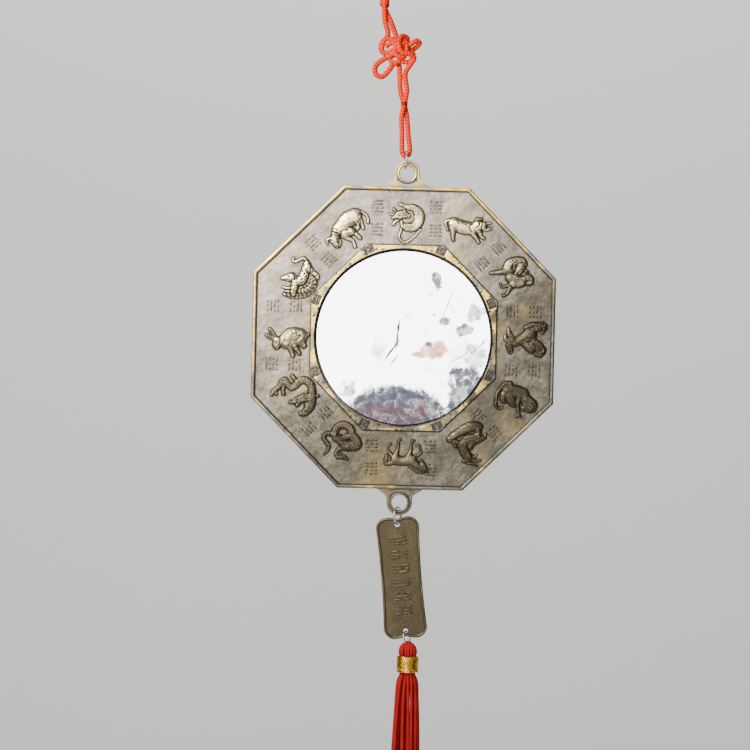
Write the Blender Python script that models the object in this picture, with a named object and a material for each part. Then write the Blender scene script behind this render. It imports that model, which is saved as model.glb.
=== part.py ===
"""Octagonal hanging mirror: cast frame with twelve animals, round glass, knotted cord, plaque and tassel.

Metres, +Z up, the face looks along -Y. The origin is the inside top of the cord's hanging loop.
Everything hangs from there: each piece takes its height from the piece that carries it.
"""
import math

import bmesh
import bpy
from mathutils import Matrix, Vector

# Frame casting
ACROSS_FLATS = 0.150
PLATE_THICK = 0.0032
RIM_WIDTH = 0.0019
RIM_RISE = 0.0013
RIM_CHAMFER = 0.0004
BEZEL_LIP = 0.0017
BEZEL_RISE = 0.0008
BEZEL_CHAMFER = 0.0004
BACK_BORDER = 0.0060
BACK_RECESS = 0.0006

# Eye lugs, top and bottom
EYE_HOLE = 0.0077
EYE_WALL = 0.0025
EYE_REACH = 0.0066
SHOULDER_HALF = 0.0120
COLLAR_WIDTH = 0.0009
COLLAR_RISE = 0.0004

# Glass in its seat
GLASS_DIAMETER = 0.0870
GLASS_THICK = 0.0015
GLASS_BEVEL = 0.0005
GLASS_SUNK = 0.0008
GLASS_MARGIN = 0.00075
CLEARANCE = 0.0003

# Relief
RELIEF = 0.0018
RELIEF_SOFT = 1.6
FIGURE_SHARE = 0.81
FIGURE_UNITS = 22.0
LIMB_SIDES = 6
THIN_LIMB_SIDES = 5
THIN_LIMB = 1.5
LIMB_TOP = 0.55
LIMB_ROOT = 0.0004

# Jump rings
TOP_RING = 0.0084
MIDDLE_RING = 0.0084
TASSEL_RING = 0.0064
WIRE = 0.0010
THIN_WIRE = 0.0008
TOP_RING_X = -0.0010
RING_STEPS = 22
WIRE_SIDES = 6
TOP_RING_TURN = 8.0
MIDDLE_RING_TURN = -22.0
TASSEL_RING_TURN = -28.0
TASSEL_RING_LEAN = 12.0

# Plaque
PLAQUE_LENGTH = 0.0604
PLAQUE_WIDTH = 0.0215
PLAQUE_WAIST = 0.0200
PLAQUE_THICK = 0.0018
PLAQUE_CORNER = 0.0055
PLAQUE_NOTCH = 0.0012
PLAQUE_BEAD = 0.0012
PLAQUE_SUNK = 0.0004
PLAQUE_HOLE = 0.0025
PLAQUE_HOLE_INSET = 0.0038
PLAQUE_X = -0.0007
PLAQUE_LEAN = 5.9

# Tassel
TASSEL_LENGTH = 0.1100
TASSEL_TOP = 0.0020
HEAD_HEIGHT = 0.0077
HEAD_WIDTH = 0.0110
NECK_WIDTH = 0.0095
SKIRT_WIDTH = 0.0146
BAND_HEIGHT = 0.0085
BAND_WALL = 0.0004
TASSEL_FLATNESS = 0.85
TASSEL_LOBES = 10
LOBE_SHARE = 0.05

# Cord
CORD_DIAMETER = 0.0025
CORD_POINTS = 80
FOLD_Z = -0.1419
WRAP_WALL = 0.0008
STRAND_SPREAD = 0.0014
BINDING_HEIGHT = 0.0028
BINDING_AT = (-0.00235, -0.1164)
LOOP_KNOT_HEIGHT = 0.0042
LOOP_KNOT_BULGE = 0.0004
LOOP_KNOT_AT = (-0.0133, -0.0662)

# The cord's route: round the top ring, through the binding, the decorative knot and the hanging loop, and back
CORD_ROUTE = [
    (-0.0023, -0.0014, -0.1168), (-0.0035, -0.0008, -0.1220), (-0.0031, 0.0000, -0.1310),
    (-0.0029, 0.0000, -0.1393), (-0.0024, 0.0000, -0.1412), (-0.0010, 0.0000, -0.1419),
    (0.0004, 0.0000, -0.1412), (0.0009, 0.0000, -0.1393), (-0.0001, 0.0000, -0.1310),
    (-0.0010, 0.0008, -0.1220), (-0.0023, 0.0014, -0.1164), (-0.0042, 0.0008, -0.1105),
    (-0.0050, 0.0002, -0.1020), (-0.0056, 0.0012, -0.0968), (-0.0076, 0.0014, -0.0960),
    (-0.0108, 0.0005, -0.1003), (-0.0139, 0.0000, -0.1030), (-0.0170, -0.0003, -0.1015),
    (-0.0169, -0.0007, -0.0976), (-0.0124, -0.0014, -0.0940), (-0.0066, -0.0016, -0.0906),
    (-0.0014, -0.0016, -0.0878), (0.0030, -0.0012, -0.0849), (0.0045, 0.0002, -0.0859),
    (0.0024, 0.0014, -0.0882), (-0.0034, 0.0016, -0.0911), (-0.0100, 0.0015, -0.0919),
    (-0.0140, 0.0006, -0.0902), (-0.0136, -0.0002, -0.0860), (-0.0113, 0.0000, -0.0818),
    (-0.0129, -0.0004, -0.0755), (-0.0134, -0.0014, -0.0690), (-0.0134, -0.0014, -0.0640),
    (-0.0143, -0.0005, -0.0550), (-0.0130, 0.0000, -0.0400), (-0.0092, 0.0000, -0.0200),
    (-0.0050, 0.0000, -0.00375), (0.0000, 0.0000, 0.00125), (0.0050, 0.0000, -0.00375),
    (0.0032, 0.0000, -0.0200), (-0.0036, 0.0000, -0.0410), (-0.0106, 0.0005, -0.0560),
    (-0.0132, 0.0014, -0.0636), (-0.0130, 0.0014, -0.0690), (-0.0104, 0.0006, -0.0746),
    (-0.0076, 0.0011, -0.0815), (-0.0056, 0.0017, -0.0866), (-0.0022, 0.0015, -0.0868),
    (-0.0017, 0.0000, -0.0836), (-0.0044, -0.0022, -0.0829), (-0.0059, -0.0043, -0.0866),
    (-0.0044, -0.0045, -0.0910), (-0.0004, -0.0034, -0.0919), (0.0020, -0.0020, -0.0936),
    (0.0002, -0.0009, -0.0966), (-0.0022, -0.0002, -0.1010), (-0.0013, -0.0006, -0.1100),
    (-0.0023, -0.0014, -0.1160),
]

# Derived places, each from the piece that carries it
SEAT_RADIUS = GLASS_DIAMETER / 2 + GLASS_MARGIN
BEZEL_APOTHEM = SEAT_RADIUS + BEZEL_LIP
RIM_APOTHEM = ACROSS_FLATS / 2 - RIM_WIDTH
GROUND_Y = -PLATE_THICK / 2
BACK_Y = PLATE_THICK / 2
BEZEL_Y = GROUND_Y - BEZEL_RISE
GLASS_FRONT_Y = BEZEL_Y + GLASS_SUNK
SEAT_Y = GLASS_FRONT_Y + GLASS_THICK + CLEARANCE
BAND_WIDTH = RIM_APOTHEM - BEZEL_APOTHEM
FIGURE_RADIUS = (RIM_APOTHEM + BEZEL_APOTHEM) / 2
UNIT = BAND_WIDTH * FIGURE_SHARE / FIGURE_UNITS


def ring_rest(across, wire, half_depth, turn):
    """How far the middle of a ring's wire stays from the edge that it hangs on or carries."""
    inner = (across - wire) / 2
    reach = half_depth / math.cos(math.radians(turn))
    return wire / 2 + CLEARANCE + inner - math.sqrt(inner ** 2 - reach ** 2)


EYE_DEPTH = PLATE_THICK / 2 + COLLAR_RISE
EYE_ON_TOP_RING = ring_rest(TOP_RING, WIRE, EYE_DEPTH, TOP_RING_TURN)
RING_IN_LOW_EYE = ring_rest(MIDDLE_RING, WIRE, EYE_DEPTH, MIDDLE_RING_TURN)
PLAQUE_ON_RING = ring_rest(MIDDLE_RING, WIRE, PLAQUE_THICK / 2, MIDDLE_RING_TURN)
RING_IN_PLAQUE = ring_rest(TASSEL_RING, THIN_WIRE, PLAQUE_THICK / 2, TASSEL_RING_TURN)
TOP_RING_Z = FOLD_Z + CORD_DIAMETER / 2 + WIRE / 2 + CLEARANCE - TOP_RING / 2
EYE_TOP_Z = TOP_RING_Z - TOP_RING / 2 + EYE_ON_TOP_RING - EYE_HOLE / 2
CENTRE_Z = EYE_TOP_Z - EYE_REACH - ACROSS_FLATS / 2
EYE_BOTTOM_Z = CENTRE_Z - ACROSS_FLATS / 2 - EYE_REACH
MIDDLE_RING_Z = EYE_BOTTOM_Z - EYE_HOLE / 2 + RING_IN_LOW_EYE - MIDDLE_RING / 2
PLAQUE_HOLE_Z = MIDDLE_RING_Z - MIDDLE_RING / 2 + PLAQUE_ON_RING - PLAQUE_HOLE / 2
HOLE_SPAN = PLAQUE_LENGTH - 2 * PLAQUE_HOLE_INSET
LEAN = math.radians(PLAQUE_LEAN)
LOW_HOLE_X = PLAQUE_X + HOLE_SPAN * math.sin(LEAN)
LOW_HOLE_Z = PLAQUE_HOLE_Z - HOLE_SPAN * math.cos(LEAN)
RING_LEAN = math.radians(TASSEL_RING_LEAN)
TASSEL_RING_TOP_Z = LOW_HOLE_Z - PLAQUE_HOLE / 2 + RING_IN_PLAQUE
TASSEL_RING_X = LOW_HOLE_X + TASSEL_RING / 2 * math.sin(RING_LEAN)
TASSEL_RING_Z = TASSEL_RING_TOP_Z - TASSEL_RING / 2 * math.cos(RING_LEAN)
TASSEL_X = TASSEL_RING_X + TASSEL_RING / 2 * math.sin(RING_LEAN)
TASSEL_TOP_Z = TASSEL_RING_Z - TASSEL_RING / 2 * math.cos(RING_LEAN) + TASSEL_TOP


# Helpers

def clear_scene():
    for existing in list(bpy.data.objects):
        bpy.data.objects.remove(existing, do_unlink=True)


def material(name, colour, roughness, metallic):
    made = bpy.data.materials.new(name)
    made.use_nodes = True
    shader = made.node_tree.nodes["Principled BSDF"]
    shader.inputs["Base Color"].default_value = (*colour, 1.0)
    shader.inputs["Roughness"].default_value = roughness
    shader.inputs["Metallic"].default_value = metallic
    return made


def add_object(name, shape, finish=None, smooth_angle=None):
    mesh = bpy.data.meshes.new(name)
    bmesh.ops.recalc_face_normals(shape, faces=shape.faces)
    shape.to_mesh(mesh)
    shape.free()
    if finish:
        mesh.materials.append(finish)
    if smooth_angle:
        mesh.shade_smooth()
        mesh.set_sharp_from_angle(angle=math.radians(smooth_angle))
    made = bpy.data.objects.new(name, mesh)
    bpy.context.scene.collection.objects.link(made)
    return made


def combine(target, tool, operation, self_crossing=False):
    """Joins or cuts the target with the tool, and removes the tool."""
    step = target.modifiers.new(operation.lower(), "BOOLEAN")
    step.operation = operation
    step.solver = "EXACT"
    step.use_self = self_crossing
    step.object = tool
    evaluated = target.evaluated_get(bpy.context.evaluated_depsgraph_get())
    result = bpy.data.meshes.new_from_object(evaluated)
    target.modifiers.clear()
    target.data = result
    bpy.data.objects.remove(tool, do_unlink=True)


def octagon(apothem, y):
    corner = apothem / math.cos(math.pi / 8)
    angles = [math.pi / 8 + k * math.pi / 4 for k in range(8)]
    return [Vector((corner * math.cos(a), y, corner * math.sin(a))) for a in angles]


def circle(radius, y, steps, start=0.0):
    angles = [start + 2 * math.pi * k / steps for k in range(steps)]
    return [Vector((radius * math.cos(a), y, radius * math.sin(a))) for a in angles]


def add_loop(shape, points):
    return [shape.verts.new(p) for p in points]


def bridge(shape, first, second):
    """Quads between two closed loops of the same number of points."""
    count = len(first)
    for k in range(count):
        shape.faces.new((first[k], first[(k + 1) % count], second[(k + 1) % count], second[k]))


def stack(loops):
    """A closed solid from a stack of loops, flat at both ends."""
    shape = bmesh.new()
    rings = [add_loop(shape, loop) for loop in loops]
    for first, second in zip(rings, rings[1:]):
        bridge(shape, first, second)
    shape.faces.new(rings[0])
    shape.faces.new(rings[-1])
    return shape


def wire_ring(across, wire, steps=RING_STEPS, sides=WIRE_SIDES):
    """A ring of round wire in the YZ plane, its middle at the origin."""
    shape = bmesh.new()
    turns = []
    for k in range(steps):
        angle = 2 * math.pi * k / steps
        out = Vector((0, math.cos(angle), math.sin(angle)))
        section = []
        for j in range(sides):
            tilt = 2 * math.pi * j / sides
            offset = out * (wire / 2 * math.cos(tilt)) + Vector((wire / 2 * math.sin(tilt), 0, 0))
            section.append(out * across / 2 + offset)
        turns.append(add_loop(shape, section))
    for k in range(steps):
        bridge(shape, turns[k], turns[(k + 1) % steps])
    return shape


# Frame casting

def frame_plate():
    """Plate with its raised rim, its bezel, the round seat and the shallow recess of the back."""
    half = ACROSS_FLATS / 2
    crest = GROUND_Y - RIM_RISE
    seat_steps = 56
    shape = bmesh.new()
    loops = [
        octagon(half - BACK_BORDER - BACK_RECESS, BACK_Y - BACK_RECESS),
        octagon(half - BACK_BORDER, BACK_Y),
        octagon(half - RIM_CHAMFER, BACK_Y),
        octagon(half, BACK_Y - RIM_CHAMFER),
        octagon(half, crest + RIM_CHAMFER),
        octagon(half - RIM_CHAMFER, crest),
        octagon(RIM_APOTHEM + RIM_CHAMFER, crest),
        octagon(RIM_APOTHEM, GROUND_Y),
        octagon(BEZEL_APOTHEM + BEZEL_CHAMFER, GROUND_Y),
        octagon(BEZEL_APOTHEM, BEZEL_Y),
    ]
    rings = [add_loop(shape, loop) for loop in loops]
    for first, second in zip(rings, rings[1:]):
        bridge(shape, first, second)
    shape.faces.new(rings[0])
    start = math.pi / 8
    mouth = add_loop(shape, circle(SEAT_RADIUS, BEZEL_Y, seat_steps, start))
    floor = add_loop(shape, circle(SEAT_RADIUS, SEAT_Y, seat_steps, start))
    per_side = seat_steps // 8
    for k in range(8):
        arc = [mouth[(k * per_side + j) % seat_steps] for j in range(per_side + 1)]
        shape.faces.new([rings[-1][k], rings[-1][(k + 1) % 8]] + arc[::-1])
    bridge(shape, mouth, floor)
    shape.faces.new(floor)
    return shape


def eye_lug():
    """Flared shoulders and a round eye, standing on the line z = 0, its hole still uncut."""
    radius = EYE_HOLE / 2 + EYE_WALL
    foot = SHOULDER_HALF - EYE_REACH + radius * math.sin(math.pi / 4)
    meet = (radius * math.cos(math.radians(10)), EYE_REACH - radius * math.sin(math.radians(10)))
    outline = [(SHOULDER_HALF, -RIM_WIDTH), (SHOULDER_HALF, 0.0)]
    outline.append((meet[0] + 0.15 * (SHOULDER_HALF - meet[0]), min(foot, meet[1]) * 0.85))
    outline.append(meet)
    for k in range(1, 12):
        angle = math.radians(-10 + 200 * k / 12)
        outline.append((radius * math.cos(angle), EYE_REACH + radius * math.sin(angle)))
    outline += [(-x, z) for x, z in reversed(outline[:4])]
    chamfer = RIM_CHAMFER
    centre = Vector((0, 0, EYE_REACH / 2))
    loops = []
    for y, inset in ((BACK_Y, 0.0), (GROUND_Y + chamfer, 0.0), (GROUND_Y, chamfer)):
        loop = []
        for x, z in outline:
            away = Vector((x, 0, z)) - centre
            pulled = away * (1 - inset / away.length) + centre
            loop.append(Vector((pulled.x, y, pulled.z)))
        loops.append(loop)
    return stack(loops)


def eye_collar():
    """The raised ring round the eye's hole."""
    inner = EYE_HOLE / 2
    steps = 24
    loops = [circle(inner + COLLAR_WIDTH, GROUND_Y + COLLAR_RISE, steps),
             circle(inner + COLLAR_WIDTH, GROUND_Y - COLLAR_RISE / 2, steps),
             circle(inner + COLLAR_WIDTH / 2, GROUND_Y - COLLAR_RISE, steps)]
    return stack(loops)


def eye_hole():
    """The cutter of the eye's hole, its mouth opened by a chamfer."""
    radius = EYE_HOLE / 2
    front = GROUND_Y - COLLAR_RISE
    steps = 24
    loops = [circle(radius, BACK_Y + CLEARANCE, steps),
             circle(radius, front + COLLAR_RISE, steps),
             circle(radius + COLLAR_RISE, front - CLEARANCE, steps)]
    return stack(loops)


# Figures: each limb is a chain of stations (x, z, half width), drawn in units of the figure's size

def limb(first, last, *path):
    """Stations along the path, their half width running from the first to the last."""
    steps = max(1, len(path) - 1)
    return [(x, z, first + (last - first) * k / steps) for k, (x, z) in enumerate(path)]


def bow(x, z, radius, start, end, first, last, steps):
    """Stations along an arc, its angles in degrees."""
    path = []
    for k in range(steps + 1):
        angle = math.radians(start + (end - start) * k / steps)
        path.append((x + radius * math.cos(angle), z + radius * math.sin(angle)))
    return limb(first, last, *path)


def leg(*path):
    return limb(1.6, 0.8, *path)


def tail(*path):
    return limb(0.9, 0.6, *path)


def rat():
    return [
        bow(1.6, 0.2, 4.9, 100, -105, 1.5, 2.5, 6),
        limb(1.2, 0.8, (1.6, 1.0), (-2.4, 1.6), (-6.4, -0.3)), limb(2.2, 2.0, (-2.4, 1.4), (-3.2, 1.0)),
        tail((-4.6, 2.6), (-6.2, 4.0)), tail((-3.6, -0.6), (-6.2, -3.3)), tail((-0.6, 5.6), (-3.0, 6.6)),
        tail((-2.2, -3.0), (-2.6, -7.2)) + bow(-0.7, -9.6, 2.6, 150, 300, 0.7, 0.6, 3) + [(7.4, -6.7, 0.5)],
    ]


def ox():
    return [
        limb(3.6, 3.9, (-2.6, 2.2), (1.2, 6.4), (4.0, 8.6)), limb(2.4, 2.2, (-4.6, 1.0), (-5.2, -2.6)),
        limb(2.5, 1.6, (-5.6, -4.0), (-4.2, -6.4)), limb(2.8, 2.4, (-0.4, -0.6), (2.6, 0.6)),
        tail((-7.4, -3.0), (-9.2, -4.2), (-9.0, -6.2)), tail((-3.4, -3.4), (-3.0, -7.2)),
        leg((0.6, -2.4), (4.8, -7.0)), leg((2.4, 1.0), (7.2, -2.6)),
        leg((5.2, 6.6), (5.6, 2.0)), leg((6.6, 7.6), (8.6, 2.2)),
        tail((5.6, 11.0), (9.2, 9.4), (11.0, 5.6)),
    ]


def tiger():
    return [
        limb(2.7, 1.5, (-5.0, -1.0), (-8.0, -1.8)), limb(2.8, 2.5, (0.4, -2.6), (3.2, 4.8)),
        limb(2.2, 1.3, (3.6, 3.6), (8.0, 0.0)), limb(2.4, 1.5, (-0.8, -4.4), (-5.6, -9.6)),
        leg((-2.8, -5.2), (-8.4, -6.3)), bow(0.4, -1.9, 6.6, 5, -95, 2.2, 2.6, 4),
        limb(1.9, 1.2, (-1.0, -10.0), (-6.8, -10.6)),
        tail((3.0, 6.6), (1.4, 8.4), (-2.4, 6.8), (-3.9, 7.6)),
    ]


def rabbit():
    return [
        limb(4.0, 4.5, (2.4, -2.4), (5.0, -1.4), (7.8, -0.8)), limb(2.4, 1.4, (-2.9, -3.2), (-3.2, -6.2)),
        limb(1.0, 1.0, (-4.2, -0.8), (-6.8, 3.0)), limb(1.0, 0.9, (-5.0, -1.8), (-8.4, -0.2)),
        leg((3.4, -6.2), (5.0, -10.0)), leg((5.6, -5.4), (8.2, -9.1)), limb(2.4, 1.4, (8.2, -2.6), (10.2, -5.0)),
        limb(1.0, 1.0, (11.2, -0.6), (12.3, 0.4)),
    ]


def dragon():
    return [
        limb(1.0, 1.7, (-13.0, 0.1), (-9.4, 4.0), (-7.0, 7.6), (-3.4, 3.8)),
        limb(1.8, 2.3, (-3.4, 3.8), (1.0, 7.2), (5.4, 6.6), (7.0, 1.0), (6.4, -4.6)),
        limb(2.3, 1.5, (6.4, -4.6), (4.0, -8.2), (2.0, -9.0)),
        leg((-7.2, 5.2), (-7.1, 0.6)), leg((-0.6, 7.6), (-3.0, 9.6)),
        limb(2.3, 1.0, (6.0, -1.0), (0.0, -2.4), (-3.8, -3.4)), leg((1.0, -3.4), (-0.4, -5.1)),
        tail((8.0, -0.4), (9.8, 0.0)),
    ]


def snake():
    return [
        bow(1.2, 3.4, 4.3, 215, -10, 1.9, 2.0, 6) + limb(2.4, 1.9, (7.6, -0.8), (2.4, -2.0), (-2.6, 2.0)),
        tail((0.8, 1.0), (-0.4, 3.0)),
        limb(1.4, 0.6, (-3.6, 2.4), (-8.2, 2.2), (-5.9, -3.0), (-8.0, -7.2)),
        limb(2.0, 0.8, (3.6, -3.4), (-1.6, -5.0), (-1.8, -8.0), (3.6, -9.0)),
    ]


def horse():
    return [
        limb(2.6, 2.6, (-2.4, -1.0), (5.4, -0.8)),
        limb(1.5, 0.6, (-2.0, 0.8), (-1.2, 5.0), (-1.0, 8.8)),
        limb(1.3, 0.6, (-3.8, 0.6), (-6.2, 4.6), (-5.4, 6.8)), limb(1.4, 0.6, (4.4, 1.2), (5.8, 8.8)),
        limb(1.2, 0.5, (7.0, 0.6), (10.2, 2.8), (9.2, 6.6), (7.8, 6.4)),
        tail((-4.4, -2.4), (-7.2, -2.4), (-6.8, 1.0)), limb(1.9, 1.6, (6.8, -2.0), (11.6, -5.6)),
        limb(1.4, 0.9, (12.4, -5.2), (10.4, -1.2)),
    ]


def goat():
    return [
        limb(1.6, 2.5, (-5.6, 2.0), (2.4, 7.4), (8.6, 8.8)), limb(2.0, 1.8, (8.4, 7.0), (8.6, 4.4)),
        limb(2.8, 2.4, (8.0, 2.6), (1.6, 0.0)), tail((10.4, 2.8), (12.2, 4.6)),
        limb(1.2, 1.6, (-5.8, 1.2), (0.2, -0.8)), limb(2.2, 2.4, (0.6, -1.6), (3.4, -6.2)),
        limb(2.2, 1.0, (4.2, -6.8), (1.6, -8.8)), tail((5.4, -5.8), (7.9, -5.9)),
        limb(0.8, 0.5, (5.8, -8.0), (9.8, -8.2)), limb(0.8, 0.6, (3.4, -9.6), (8.2, -10.9)),
    ]


def monkey():
    return [
        limb(2.8, 3.0, (0.6, 5.0), (4.8, 4.6), (8.6, 3.6)), limb(2.8, 4.1, (10.0, 0.8), (11.8, -2.2)),
        limb(2.0, 1.3, (-1.2, 2.6), (-1.2, -0.2)), limb(2.6, 1.2, (1.6, 2.0), (3.8, -2.2)),
        leg((7.0, 2.2), (6.0, -1.0), (6.6, -6.6)), tail((5.6, -8.0), (7.4, -7.8)),
        limb(1.6, 0.8, (2.0, 8.2), (-2.6, 6.4), (-5.0, 0.4), (-4.4, -3.4), (-1.8, -3.4)),
    ]


def rooster():
    return [
        limb(2.0, 3.4, (-3.2, -0.6), (3.2, 3.0)), limb(1.8, 1.6, (2.2, 6.6), (9.8, 7.2)),
        limb(2.2, 1.2, (4.4, 5.2), (7.8, 6.2)), tail((10.2, 6.0), (9.4, 4.0)), tail((10.6, 8.2), (11.6, 6.6)),
        limb(1.6, 0.7, (-5.2, 0.2), (-7.6, 6.0)), limb(2.2, 0.7, (-6.6, -1.2), (-9.0, 2.2)),
        limb(1.8, 1.3, (-7.0, -2.6), (-6.4, -5.6)), limb(2.2, 1.5, (1.2, -1.8), (4.0, -5.0)),
        limb(2.5, 2.1, (5.0, -0.8), (9.4, -4.2)), limb(1.4, 1.6, (6.4, -6.4), (9.8, -6.0)),
    ]


def dog():
    return [
        limb(2.8, 0.9, (4.6, 6.8), (8.0, 4.9)), limb(2.2, 2.2, (-1.6, 8.4), (1.4, 9.8), (4.4, 9.2)),
        limb(2.4, 2.4, (-1.2, 6.0), (1.4, 5.8)), limb(2.2, 0.9, (-0.8, 4.6), (-4.2, 4.0), (-9.6, 3.3)),
        limb(2.6, 2.6, (0.4, 1.4), (5.0, 0.8)), limb(2.3, 2.3, (8.6, 0.8), (9.6, 0.7)),
        limb(2.2, 0.8, (2.0, -1.6), (0.6, -4.2), (-2.8, -7.6)), tail((0.6, -2.4), (-4.0, -3.2), (-4.8, -1.8)),
    ]


def pig():
    return [
        limb(3.2, 3.2, (-5.8, 5.6), (2.0, 3.4), (5.0, 3.8)), limb(2.6, 2.2, (5.6, 5.6), (8.2, 4.8)),
        limb(1.1, 0.5, (8.8, 5.8), (12.0, 6.4)), limb(1.1, 0.5, (9.0, 3.0), (12.2, 3.4)),
        tail((5.2, 8.2), (7.6, 8.2)), leg((-6.4, 3.0), (-6.2, -2.5)), leg((3.8, 0.8), (6.4, -3.3)),
        leg((6.6, 1.6), (8.9, -1.3)), tail((-8.6, 7.6), (-10.0, 6.2), (-9.0, 2.4)),
    ]


# Counter-clockwise on the face, from the top
FIGURES = (rat, ox, tiger, rabbit, dragon, snake, horse, goat, monkey, rooster, dog, pig)


def limb_height(half_width):
    """Thin limbs lie lower than bodies."""
    return RELIEF * (1 - math.exp(-half_width / RELIEF_SOFT))


def station_points(x, z, half_width, centre):
    """The foot and the crown of one station of a limb, as points on the face."""
    radius = half_width * UNIT
    crest = GROUND_Y - limb_height(half_width)
    foot_sides = LIMB_SIDES if half_width > THIN_LIMB else THIN_LIMB_SIDES
    points = []
    for y, share, sides in ((GROUND_Y + LIMB_ROOT, 1.0, foot_sides), (crest, LIMB_TOP, foot_sides - 2)):
        for point in circle(radius * share, y, sides, math.pi / sides):
            points.append(point + Vector((centre[0] + x * UNIT, 0, centre[1] + z * UNIT)))
    return points


def relief():
    """All the limbs of all the figures, each link of a limb its own hull."""
    shape = bmesh.new()
    for k, figure in enumerate(FIGURES):
        angle = math.pi / 2 + k * math.pi / 6
        centre = (FIGURE_RADIUS * math.cos(angle), FIGURE_RADIUS * math.sin(angle))
        for stations in figure():
            for first, second in zip(stations, stations[1:]):
                points = station_points(*first, centre) + station_points(*second, centre)
                corners = [shape.verts.new(p) for p in points]
                hull = bmesh.ops.convex_hull(shape, input=corners)
                inside = set(hull["geom_interior"] + hull["geom_unused"])
                bmesh.ops.delete(shape, geom=[g for g in inside if g.is_valid], context="VERTS")
    return shape


def make_frame(finish):
    frame = add_object("mirror_frame", frame_plate(), finish)
    for side in (1, -1):
        turn = Matrix.Rotation(0 if side > 0 else math.pi, 4, "Y")
        at_edge = turn @ Matrix.Translation((0, 0, ACROSS_FLATS / 2))
        at_eye = turn @ Matrix.Translation((0, 0, ACROSS_FLATS / 2 + EYE_REACH))
        steps = ((eye_lug, at_edge, "UNION"), (eye_collar, at_eye, "UNION"), (eye_hole, at_eye, "DIFFERENCE"))
        for make, place, operation in steps:
            shape = make()
            shape.transform(place)
            combine(frame, add_object("tool", shape), operation)
    combine(frame, add_object("tool", relief()), "UNION", self_crossing=True)
    frame.location = (0, 0, CENTRE_Z)
    return frame


# Glass, rings, plaque

def make_glass(finish):
    radius = GLASS_DIAMETER / 2
    steps = 60
    back = GLASS_FRONT_Y + GLASS_THICK
    loops = [circle(radius - GLASS_BEVEL, GLASS_FRONT_Y, steps),
             circle(radius, GLASS_FRONT_Y + GLASS_BEVEL, steps),
             circle(radius, back, steps)]
    glass = add_object("mirror_glass", stack(loops), finish, 30)
    glass.location = (0, 0, CENTRE_Z)
    return glass


def make_rings(finish):
    places = (
        ("top_jump_ring", TOP_RING, WIRE, (TOP_RING_X, TOP_RING_Z), TOP_RING_TURN, 0.0),
        ("middle_jump_ring", MIDDLE_RING, WIRE, (PLAQUE_X, MIDDLE_RING_Z), MIDDLE_RING_TURN, 0.0),
        ("tassel_jump_ring", TASSEL_RING, THIN_WIRE, (TASSEL_RING_X, TASSEL_RING_Z),
         TASSEL_RING_TURN, -RING_LEAN),
    )
    for name, across, wire, (x, z), turn, lean in places:
        ring = add_object(name, wire_ring(across, wire), finish, 60)
        ring.location = (x, 0, z)
        ring.rotation_euler = (0, lean, math.radians(turn))


def plaque_outline(inset):
    """Two-lobed ends with a small notch between the lobes, and hollow sides."""
    half_length, half_width = PLAQUE_LENGTH / 2, PLAQUE_WIDTH / 2
    corner = (half_width - PLAQUE_CORNER, half_length - PLAQUE_CORNER)
    crown = (corner[0] ** 2 + PLAQUE_NOTCH ** 2) / (2 * PLAQUE_NOTCH)
    sweep = math.asin(corner[0] / crown)
    quarter = []
    for k in range(5):
        angle = math.pi / 2 * k / 4
        quarter.append((corner[0] + PLAQUE_CORNER * math.cos(angle), corner[1] + PLAQUE_CORNER * math.sin(angle)))
    for k in range(1, 4):
        angle = sweep * k / 3
        quarter.append((corner[0] - crown * math.sin(angle), half_length - crown * (1 - math.cos(angle))))
    top = quarter + [(-x, z) for x, z in reversed(quarter[:-1])]
    side = []
    for k in range(1, 4):
        z = corner[1] * (1 - k / 2)
        side.append((-(PLAQUE_WAIST + (PLAQUE_WIDTH - PLAQUE_WAIST) * (z / corner[1]) ** 2) / 2, z))
    half = top + side
    points = [Vector(p) for p in half + [(-x, -z) for x, z in half]]
    moved = []
    for k, point in enumerate(points):
        along = points[(k + 1) % len(points)] - points[k - 1]
        moved.append(point + Vector((-along.y, along.x)).normalized() * inset)
    return moved


def make_plaque(finish):
    half = PLAQUE_THICK / 2
    profile = ((half, RIM_CHAMFER), (half - RIM_CHAMFER, 0.0), (-half + RIM_CHAMFER, 0.0), (-half, RIM_CHAMFER),
               (-half, PLAQUE_BEAD), (-half + PLAQUE_SUNK, PLAQUE_BEAD + PLAQUE_SUNK))
    loops = [[Vector((p.x, y, p.y)) for p in plaque_outline(inset)] for y, inset in profile]
    plaque = add_object("plaque", stack(loops), finish)
    for side in (1, -1):
        steps = 16
        cutter = stack([circle(PLAQUE_HOLE / 2, y, steps) for y in (-PLAQUE_THICK, PLAQUE_THICK)])
        cutter.transform(Matrix.Translation((0, 0, side * HOLE_SPAN / 2)))
        combine(plaque, add_object("tool", cutter), "DIFFERENCE")
    plaque.location = ((PLAQUE_X + LOW_HOLE_X) / 2, 0, (PLAQUE_HOLE_Z + LOW_HOLE_Z) / 2)
    plaque.rotation_euler = (0, -LEAN, 0)
    return plaque


# Tassel

def tassel_section(width, z, lobed=1.0):
    """One level of the yarn bundle, its strands as shallow lobes."""
    section = []
    for k in range(2 * TASSEL_LOBES):
        angle = math.pi * k / TASSEL_LOBES
        radius = width / 2 * (1 - LOBE_SHARE * lobed * (k % 2))
        section.append(Vector((radius * math.cos(angle), TASSEL_FLATNESS * radius * math.sin(angle), z)))
    return section


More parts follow.
